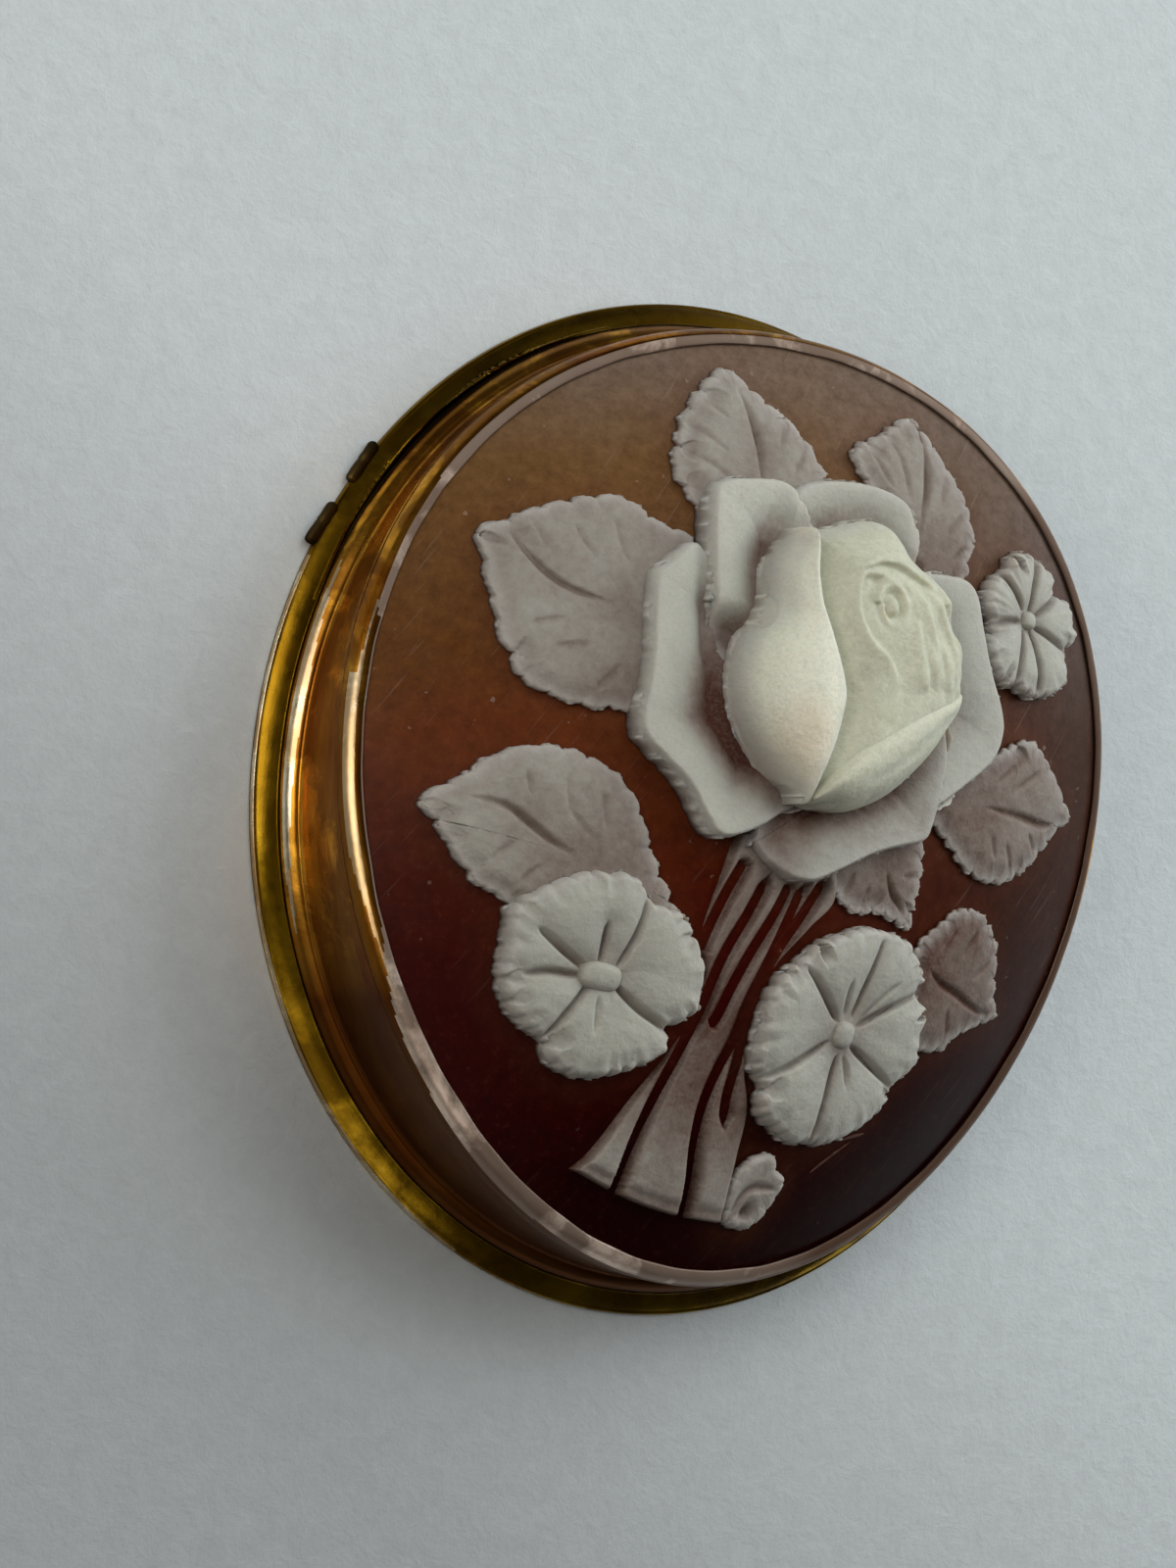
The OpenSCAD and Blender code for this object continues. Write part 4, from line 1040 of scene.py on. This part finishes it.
def build_fittings(material):
    """Hanging loop, hinge knuckles and the two pairs of ears behind."""
    turns = np.linspace(0, 2 * np.pi, 48, endpoint=False)
    middle_y, middle_z = HALF_H + WALL_IN - LOOP_R + LOOP_WIRE / 2, LOOP_R + LOOP_WIRE
    ring = [(0, middle_y + LOOP_R * math.cos(a), middle_z + LOOP_R * math.sin(a)) for a in turns]
    gold_piece("hanging_loop", *tube(ring, LOOP_WIRE * 0.97, 16), material)

    turn = math.radians(HINGE_TURN)
    radius = KNUCKLE_SHOWN * KNUCKLE_R
    mx, my = station(turn, FLANGE_OUT + KNUCKLE_OUT - radius)
    lengthwise = np.array([-math.sin(turn), math.cos(turn), 0])
    outward = np.array([math.cos(turn), math.sin(turn), 0])
    reach = (KNUCKLE_GAP + KNUCKLE_LEN) / 2
    sides = 24
    for number, side in enumerate((-1, 1), 1):
        verts = []
        for share, size in KNUCKLE_ROWS:
            middle = np.array([mx, my, radius]) + lengthwise * (side * reach + share * KNUCKLE_LEN / 2)
            verts += [middle + size * radius * (outward * math.cos(a) + np.array([0, 0, math.sin(a)]))
                      for a in np.linspace(0, 2 * np.pi, sides, endpoint=False)]
        faces = grid_faces(len(KNUCKLE_ROWS), sides, flip=True, wrap=True)
        faces += [tuple(range(sides)), tuple(range(len(verts) - sides, len(verts)))[::-1]]
        gold_piece(f"hinge_knuckle_{number}", verts, faces, material)

    high = PIN_Z + PIN_R + PIN_GAP + EAR_T / 2
    for which, angle in (("hinge", HINGE_TURN), ("catch", HINGE_TURN + 180)):
        turn = math.radians(angle)
        wall = math.hypot(*station(turn, WALL_IN))
        for number, side in enumerate((-1, 1), 1):
            place = Matrix.Rotation(turn, 4, "Z") @ Matrix.Translation(
                (wall + (SHEET_T - EAR_REACH) / 2, side * (PIN_R + PIN_GAP + EAR_T / 2), high / 2))
            bevelled_box(f"{which}_ear_{number}", (EAR_REACH + SHEET_T, EAR_T, high), place, 0.08, material)


# Shell

def build_ground(material):
    """Domed brown layer with its hollow back, and how much white film is left on it."""
    stations, top_rings, back_rings, middle = 288, 100, 20, 0.008
    turn = np.linspace(0, 2 * np.pi, stations, endpoint=False)
    rings = [(share, 0.0) for share in np.linspace(1, middle, top_rings)]
    rings += [(share, -GROUND_T) for share in np.linspace(middle, 1, back_rings)]
    share, drop = np.array(rings).T[..., None]
    x, y = (share * side for side in station(turn, LIP_COVER))
    verts = np.stack([x, y, ground(x, y) + drop], -1).reshape(-1, 3)
    faces = grid_faces(len(rings), stations, wrap=True, close=True)
    obj = new_object("shell_dome", verts, faces, material, "shell_ground")
    edges = np.vstack(OUTLINES)
    top = verts[:top_rings * stations]
    away = np.concatenate([np.sqrt(((part[:, None, :2] - edges) ** 2).sum(-1).min(1))
                           for part in np.array_split(top, 30)])
    film = np.zeros(len(verts))
    film[:len(top)] = np.exp(-(away / FILM_REACH) ** 2)
    mark(obj, "film", film)


# Carving

# Plan outlines of what is carved, for the thin film of white left round it
OUTLINES = []


def carve(name, outline, material, shape, stations, rings, pitch=0.0, tooth=0.0, seed=1, painted_shade_cream=0.0,
          thin=None):
    """Carved piece from an outline, in the white shell.

    shape gives heights from plan points and distances inwards. pitch and tooth are the spacing and
    the depth of the teeth in mm. The two arguments after seed are painted shade: how far it darkens the
    piece's tone, and how many mm it takes off the white's height where its colour is worked out.
    """
    rng = np.random.default_rng(seed)
    edge, length = around(outline, stations)
    if np.cross(np.roll(edge, -1, 0) - edge, edge.mean(0) - edge).sum() < 0:
        edge = edge[::-1]
    nick = np.zeros(stations)
    depth = np.ones(stations)
    if pitch:
        count = int(round(length / pitch))
        sizes = rng.uniform(0.75, 1.3, count)
        ends = np.append(0, np.cumsum(sizes / sizes.sum()))
        along_edge = np.arange(stations) / stations
        which = np.clip(np.searchsorted(ends, along_edge, "right") - 1, 0, count - 1)
        phase = (along_edge - ends[which]) / (ends[which + 1] - ends[which])
        nick = 1 - np.abs(np.sin(np.pi * phase)) ** 0.45
        depth = np.append(rng.uniform(0.5, 1.2, count), 0)
        depth = np.where(phase < 0.5, depth[which], np.roll(depth[:-1], -1)[which])
        ahead = np.roll(edge, -1, 0) - np.roll(edge, 1, 0)
        inward = np.stack([-ahead[:, 1], ahead[:, 0]], -1) / np.hypot(*ahead.T)[:, None]
        edge = edge + inward * (tooth * nick * depth)[:, None]
    middle = edge.mean(0)
    shares = 1 - spread(rings) ** 1.25 * 0.985
    # The graver's edge is never quite smooth
    ragged = rng.normal(0, 0.055, stations)
    ragged = (ragged + np.roll(ragged, 1) + np.roll(ragged, -1)) / 3
    away = edge - middle
    cut = ragged[:, None] * away / np.hypot(*away.T)[:, None]
    reach = shares[:, None] ** 12
    px = middle[0] + shares[:, None] * away[:, 0] + reach * cut[:, 0]
    py = middle[1] + shares[:, None] * away[:, 1] + reach * cut[:, 1]
    square = (px[..., None] - edge[:, 0]) ** 2 + (py[..., None] - edge[:, 1]) ** 2
    near, inside = square.argmin(-1), np.sqrt(square.min(-1))
    # A short cut runs inwards from each notch
    notch = 0.22 * (nick * depth)[near] ** 6 * smooth(inside, 1.1, 0.15) * (inside > 0)
    height = shape(px, py, inside) - notch
    OUTLINES.append(edge[::4])
    obj = white_piece(name, *closed_round(px, py, height), material)
    mark(obj, "frost_and_highlight", np.append(np.exp(-(inside / 0.42) ** 2).ravel(), np.ones(stations)))
    # Painted shade: how far the piece's tone is darkened, and how many mm are taken off its white for colour
    mark(obj, "painted_shade_cream", np.full(len(obj.data.vertices), painted_shade_cream))
    if thin is not None:
        mark(obj, "thin", np.append(np.broadcast_to(thin(px, py), px.shape).ravel(), np.zeros(stations)))


def edge_round(inside, width):
    """Height share that rounds a piece over at its edge; inside is the distance from it."""
    k = np.clip(inside / width, 0, 1)
    return np.sqrt(1 - (1 - k) ** 2)


def build_leaves(material):
    for seed, (name, size, thinner, outline, rib, veins, pitch) in enumerate(LEAVES, 1):
        tip, foot = at(rib[0]), at(rib[-1])

        def shape(px, py, inside):
            run = tip - foot
            toward = ((px - foot[0]) * run[0] + (py - foot[1]) * run[1]) / (run @ run)
            body = LEAF_H * size * (0.62 + 0.36 * smooth(toward, -0.6, 1.1))
            body = body + 0.045 * ripple(px, py, seed, 0.9) + 0.015 * ripple(px, py, seed + 40, 0.22)
            body = body - dip(px, py, rib, 0.07, 1.0) - crease(px, py, rib, 0.17, 0.28, 0.8)
            for vein in veins:
                body = body - crease(px, py, vein, 0.15, 0.12)
            round_off = 0.34 + 0.30 * edge_round(inside, 0.14) + 0.36 * smooth(inside, 0.0, 1.0)
            return np.maximum(body, 0.05) * round_off

        # Painted shade darkens some leaves, most of all those on the right
        carve(name, outline, material, shape, 420, 44, pitch, 0.24, seed, thin=lambda px, py: thinner)


def build_flowers(material):
    for seed, (name, middle, button, outline, creases, wide, pitch) in enumerate(FLOWERS, 21):
        mx, my = at(middle)

        def shape(px, py, inside):
            body = FLOWER_H * (0.86 + 0.12 * smooth(inside, 0.1, 1.0) - 0.18 * smooth(inside, 1.4, 3.6))
            for line in creases[:wide]:
                body = body - dip(px, py, line, 0.17, 0.60) - crease(px, py, line, 0.15, 0.42, 0.35)
            for line in creases[FINE_CREASES:]:
                body = body - crease(px, py, line, 0.14, 0.20)
            turn = np.arctan2(py - my, px - mx)
            frill = np.cos(23 * turn + 2 * np.sin(3 * turn + seed)) + 0.6 * np.cos(41 * turn + seed)
            body = body + 0.030 * frill * smooth(inside, 1.3, 0.3)
            body = body + 0.03 * ripple(px, py, seed, 0.7) + 0.012 * ripple(px, py, seed + 40, 0.2)
            return np.maximum(body, 0.12) * (0.24 + 0.76 * edge_round(inside, 0.34))

        carve(name, outline, material, shape, 420, 56, 0.75 * pitch, 0.15, seed)
        a = np.linspace(0, 2 * np.pi, 48, endpoint=False)
        share = 1 - np.linspace(0, 0.98, 12)[:, None]
        # A boss between a square and a round one
        reach = (np.abs(np.cos(a)) ** BOSS + np.abs(np.sin(a)) ** BOSS) ** (-1 / BOSS)
        px = mx + button[0] * share * reach * np.cos(a)
        py = my + button[1] * share * reach * np.sin(a)
        top = FLOWER_H * 0.52 + 0.50 * np.sqrt(np.clip(1 - share ** 3, 0, 1)) + 0 * px
        white_piece(name + "_button", *closed_round(px, py, top), material)


def beside_bud(px, py):
    """Distance from the bud's outline in millimetres."""
    return np.minimum(to_line(px, py, BUD_LEFT)[2], to_line(px, py, BUD_CORE)[2])


def build_outer_petals(material):
    left_fold = OUTER_PETALS[4][4][5:11]
    for seed, (name, size, drop, free, outline) in enumerate(OUTER_PETALS, 31):

        def shape(px, py, inside):
            edge = to_line(px, py, outline[:free], 400)[2]
            fall = curve(*zip(*PETAL_FALL), np.clip(edge, 0, 9))
            body = PETAL_H * size * fall + 0.05 * ripple(px, py, seed, 1.1)
            body = body - drop * np.exp(-(beside_bud(px, py) / 1.05) ** 2)
            if name == "rose_petal_left":
                body = body - dip(px, py, left_fold, 0.55, 0.70)
            if name == "rose_petal_upper_left":
                body = body * (0.25 + 0.75 * smooth(py / HALF_H, 0.29, 0.38))
            if name == "rose_petal_bottom":
                body = body * (0.60 + 0.40 * smooth(px / HALF_W, -0.15, 0.02))
            return np.maximum(body, 0.50) * (0.50 + 0.50 * edge_round(edge, 0.18))

        # Painted shade: a painted shadow of the bud in the trough of the left petal and beside the bud on the
        # upper left one, the bottom petal darkened all over, and painted light on the right petal
        def thin(px, py):
            away, s, t = beside_bud(px, py), px / HALF_W, py / HALF_H
            trough = 0.52 * smooth(away, 3.3, 1.6) * smooth(t, 0.36, 0.14)
            return {
                "rose_petal_left": trough + 0.05 * np.exp(-(away / 0.9) ** 2),
                "rose_petal_upper_left": 0.25 * smooth(away, 1.8, 0.4),
                "rose_petal_bottom": 0.46 + 0.15 * smooth(s, 0.05, -0.12),
                "rose_petal_right": -0.12,
            }.get(name, 0.0)

        carve(name, outline, material, shape, 320, 52, seed=seed, thin=thin)


def build_bud(material):
    left_x, left_y = np.array(BUD_LEFT).T
    right_x, right_y = np.array(BUD_RIGHT_EDGE)[::-1].T
    # The petal swells evenly over the shoulder of its outline
    steps = np.linspace(-0.15, 0.70, 171)
    even = np.convolve(np.pad(np.interp(steps, left_y, left_x), 14, "edge"), np.hanning(29) / 14, "valid")

    def left_petal(px, py, inside):
        t = py / HALF_H
        low, high = np.interp(t, steps, even) * HALF_W, np.interp(t, right_y, right_x) * HALF_W
        across = np.clip((px - low) / np.maximum(high - low, 0.3), 0, 1)
        up = curve(*zip(*BUD_UP), np.clip(t, BUD_UP[0][0], BUD_UP[-1][0]))
        body = BUD_H * up * curve(*zip(*BUD_ACROSS), across)
        body = body - crease(px, py, [(-0.185, 0.53), (-0.18, 0.48), (-0.175, 0.43)], 0.35, 0.10)
        body = body + 0.05 * ripple(px, py, 9, 1.0)
        return body - 0.30 * (1 - edge_round(inside, 0.30))

    def core(px, py, inside):
        body = BUD_H * curve(*zip(*CORE_RISE), np.clip(inside, 0, CORE_RISE[-1][0]))
        share, _, away = to_line(px, py, BUD_RIGHT_EDGE)
        body = body - 0.85 * np.exp(-(away / 1.0) ** 2) * smooth(share, 1.0, 0.7)
        for line, side, rise in BUD_EDGES:
            body = body + lap(px, py, line, side, rise)
        # The rolled heart
        hx, hy = at(HEART_AT)
        r, turn = np.hypot((px - hx) * 1.3, py - hy), np.arctan2(py - hy, px - hx)
        open_side = 0.55 + 0.45 * np.cos(turn - 2.4)
        body = body + 0.16 * np.exp(-(r / 0.34) ** 2) - 0.20 * np.exp(-((r - 0.52) / 0.17) ** 2)
        body = body + 0.20 * open_side * np.exp(-((r - 0.86 - 0.07 * turn) / 0.19) ** 2)
        body = body - 0.12 * open_side * np.exp(-((r - 1.20 - 0.08 * turn) / 0.17) ** 2)
        # The worn right side
        right = smooth(px, 1.6, 3.6) * smooth(py, 4.5, 6.5)
        strands = np.sin(8 * (px * 0.80 + py * 0.42) + 1.6 * ripple(px, py, 8, 0.8))
        body = body + right * (0.07 * strands + 0.05 * ripple(px, py, 18, 0.16))
        return body + 0.04 * ripple(px, py, 10, 0.8) - 0.30 * (1 - edge_round(inside, 0.35))

    # The heart of the bud gets painted shade
    carve("rose_bud_core", BUD_CORE, material, core, 380, 100, seed=41, painted_shade_cream=0.85)
    carve("rose_bud_left_petal", BUD_LEFT[:-1] + BUD_RIGHT_EDGE[:-1], material, left_petal, 360, 70)

    u, v = spread(130, 0.2), spread(48, 0.3)
    ends = along(LOW_PETAL, u)
    px, py = strip(at(ends[:, :2]), at(ends[:, 2:]), v)
    across, lengthwise = curve(*zip(*LOW_PETAL_ACROSS), v), curve(*zip(*LOW_PETAL_ALONG), u)[:, None]
    body = BUD_H * across * lengthwise + 0.04 * ripple(px, py, 5, 0.6)
    fold = crease(px, py, [(0.27, 0.25), (0.20, 0.185), (0.12, 0.11), (0.04, 0.05)], 0.28, 0.12)
    obj = white_piece("rose_low_petal", *closed_patch(px, py, body - fold), material)
    # The low petal gets painted shade too
    mark(obj, "painted_shade_cream", np.full(len(obj.data.vertices), 0.65))


def build_stems(material):
    u, v = spread(180, 0.1), spread(110, 0.2)
    left, right = at(along(STEMS_LEFT, u)), at(along(STEMS_RIGHT, u))
    px, py = strip(left, right, v)
    py = py - FOOT_BULGE * HALF_H * np.sin(np.pi * v) * smooth(u, 0.6, 1.0)[:, None]
    away = np.full(px.shape, 9.0)
    for line in STEM_GAPS:
        share, _, far = to_line(px, py, line)
        # A gap that reaches the feet is open there, the others close
        close = 1 if line[-1][1] < -0.9 else smooth(share, 1.0, 0.9)
        away = np.minimum(away, far + 0.5 * (1 - smooth(share, 0.0, 0.06) * close))
    side = np.minimum(v, 1 - v) * np.hypot(*(right - left).T)[:, None]
    away = np.minimum(away, side + 0.22)
    strand = smooth(away, 0.19, 0.46) * (0.72 + 0.28 * smooth(away, 0.3, 0.6))
    strand = strand * curve(*zip(*STEM_FALL), u)[:, None]
    foot = ((1 - u) * 15.0)[:, None]
    hollow = 0.22 * smooth(foot, 1.3, 0.7) * smooth(away, 0.25, 0.6)
    body = STEM_H * strand * (1 - hollow) + 0.03 * ripple(px * 2.2, py * 0.5, 12, 0.5) * strand
    body = np.maximum(body, 0.0) * (0.35 + 0.65 * edge_round(foot, 0.3)) - 0.03
    white_piece("stems", *closed_patch(px, py, body), material)


def build_low_bud(material):
    def shape(px, py, inside):
        hx, hy = at(LOW_BUD_HOLLOW)
        body = LEAF_H * 0.80 - 0.42 * np.exp(-((px - hx) / 0.34) ** 2 - ((py - hy) / 0.42) ** 2)
        body = body - crease(px, py, LOW_BUD_FOLD, 0.2, 0.28) + 0.05 * ripple(px, py, 14, 0.4)
        return np.maximum(body, 0.06) * (0.3 + 0.7 * edge_round(inside, 0.4))

    carve("low_bud", LOW_BUD, material, shape, 200, 30, 0.8, 0.08, 7)


def build_slips(material):
    for number, line in enumerate(SLIPS, 1):
        k, w = np.linspace(0, 1, 40), np.linspace(-1, 1, 9)
        spine = at(along(line, k))
        side = np.gradient(spine, axis=0)
        side = np.stack([-side[:, 1], side[:, 0]], -1) / np.hypot(*side.T)[:, None]
        half = SLIP_HALF[0] + (SLIP_HALF[1] - SLIP_HALF[0]) * np.sin(np.pi * k) ** 0.7
        px, py = strip(spine, spine + side * half[:, None], w)
        white_piece(f"graver_slip_{number}", *closed_patch(px, py, 0.045 * (1 - w ** 2) + 0 * px), material)


# Camera, light and floor

# Fitted to the outlines of the flange, the lip and the flowers in the photograph
CAMERA_PLACE = (-118.4, -30.2, 185.7)
LOOK_AT = (0.0, 0.0, 2.75)
LOOK_AT_PIXEL = (720, 823)
PICTURE = (1200, 1600)
FOCAL_PIXELS = 5192
CAMERA_RIGHT = (0.8147, 0.1686, 0.5549)
SENSOR = 36.0
# The room that the gold and the polished shell mirror
# columns: direction, where its brightness starts as a cosine, dark colour, bright colour
ROOM = [
    ((0.08, -0.12, 0.99), 0.93, (0.03, 0.03, 0.03), (0.15, 0.15, 0.16)),
    ((-0.25, -0.66, 0.71), 0.88, (0.0, 0.0, 0.0), (0.50, 0.46, 0.42)),
    ((-0.05, 0.71, 0.70), 0.95, (0.0, 0.0, 0.0), (0.22, 0.22, 0.22)),
    ((0.76, 0.56, 0.32), 0.80, (0.0, 0.0, 0.0), (0.60, 0.64, 0.68)),
]
# columns: name, place in mm, size in mm, power in watts, colour
LIGHTS = [
    ("ceiling", (-80, 170, 230), 320, 0.29, (0.98, 1.0, 1.0)),
    ("window", (230, 90, 160), 200, 0.41, (0.95, 0.99, 1.0)),
    ("far_window", (70, 230, 190), 240, 0.27, (0.97, 1.0, 1.0)),
    ("left_fill", (-208, 16, 136), 120, 0.13, (1.0, 0.93, 0.84)),
]
MIRRORED_LAMP = ("lamp", (-208, 16, 136), 84, 0.55, (1.0, 0.95, 0.86))
FLOOR_HALF = 600


def build_camera():
    place, target = Vector(CAMERA_PLACE), Vector(LOOK_AT)
    forward = (target - place).normalized()
    right = Vector(CAMERA_RIGHT)
    right = (right - forward * right.dot(forward)).normalized()
    up = right.cross(forward)
    across = (PICTURE[0] / 2 - LOOK_AT_PIXEL[0]) / FOCAL_PIXELS
    down = (PICTURE[1] / 2 - LOOK_AT_PIXEL[1]) / FOCAL_PIXELS
    forward = (forward + right * across - up * down).normalized()
    right = (right - forward * right.dot(forward)).normalized()
    up = right.cross(forward)
    data = bpy.data.cameras.new("camera")
    data.sensor_width = SENSOR
    data.lens = FOCAL_PIXELS / PICTURE[1] * SENSOR
    data.clip_start, data.clip_end = 0.01, 5.0
    camera = bpy.data.objects.new("camera", data)
    bpy.context.collection.objects.link(camera)
    turned = Matrix((right, up, -forward)).transposed().to_4x4()
    camera.matrix_world = Matrix.Translation(place * MM) @ turned
    bpy.context.scene.camera = camera


def area_light(name, place, size, power, color):
    """Square soft light in millimetres that faces the pendant; the gold mirrors the room instead."""
    data = bpy.data.lights.new(name, "AREA")
    data.size = size * MM
    data.energy = power
    data.color = color
    light = bpy.data.objects.new(name, data)
    bpy.context.collection.objects.link(light)
    light.location = Vector(place) * MM
    light.rotation_mode = "QUATERNION"
    light.rotation_quaternion = (-Vector(place)).to_track_quat("-Z", "Y")
    light.visible_glossy = False
    return light


def build_room():
    """World whose soft areas, each about one direction, are what the gold mirrors."""
    world = bpy.data.worlds.new("studio")
    bpy.context.scene.world = world
    world.use_nodes = True
    nodes, links = world.node_tree.nodes, world.node_tree.links
    place = nodes.new("ShaderNodeTexCoord")
    total = None
    for direction, start, dark, bright in ROOM:
        facing = nodes.new("ShaderNodeVectorMath")
        facing.operation = "DOT_PRODUCT"
        facing.inputs[1].default_value = Vector(direction).normalized()
        links.new(place.outputs["Generated"], facing.inputs[0])
        ramp = nodes.new("ShaderNodeValToRGB")
        ramp.color_ramp.interpolation = "EASE"
        first, last = ramp.color_ramp.elements
        first.position, first.color, last.color = start, (*dark, 1), (*bright, 1)
        links.new(facing.outputs["Value"], ramp.inputs[0])
        if total is None:
            total = ramp.outputs[0]
        else:
            add = nodes.new("ShaderNodeVectorMath")
            links.new(total, add.inputs[0])
            links.new(ramp.outputs[0], add.inputs[1])
            total = add.outputs[0]
    links.new(total, nodes["Background"].inputs[0])


def build_studio():
    """Soft light from above and the right, a little warm light from the left, and the floor."""
    bpy.context.scene.view_settings.view_transform = "Standard"
    build_room()
    for row in LIGHTS:
        area_light(*row)
    # This one is seen in the gold only, and lights nothing else
    lamp = area_light(*MIRRORED_LAMP)
    lamp.visible_glossy, lamp.visible_diffuse = True, False
    side = FLOOR_HALF * MM
    mesh = bpy.data.meshes.new("floor")
    mesh.from_pydata([(-side, -side, 0), (side, -side, 0), (side, side, 0), (-side, side, 0)], [],
                     [(0, 1, 2, 3)])
    mesh.materials.append(paper())
    floor = bpy.data.objects.new("floor", mesh)
    bpy.context.collection.objects.link(floor)


def main():
    white = white_shell()
    build_setting([gold(*row) for row in GOLDS])
    build_fittings(gold(*HINGE_GOLD))
    build_leaves(white)
    build_flowers(white)
    build_stems(white)
    build_low_bud(white)
    build_slips(white)
    build_outer_petals(white)
    build_bud(white)
    build_ground(brown_shell())
    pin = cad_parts["brooch_pin"]
    pin.data.materials.clear()
    pin.data.materials.append(gold(*PIN_GOLD))
    build_camera()
    build_studio()


main()
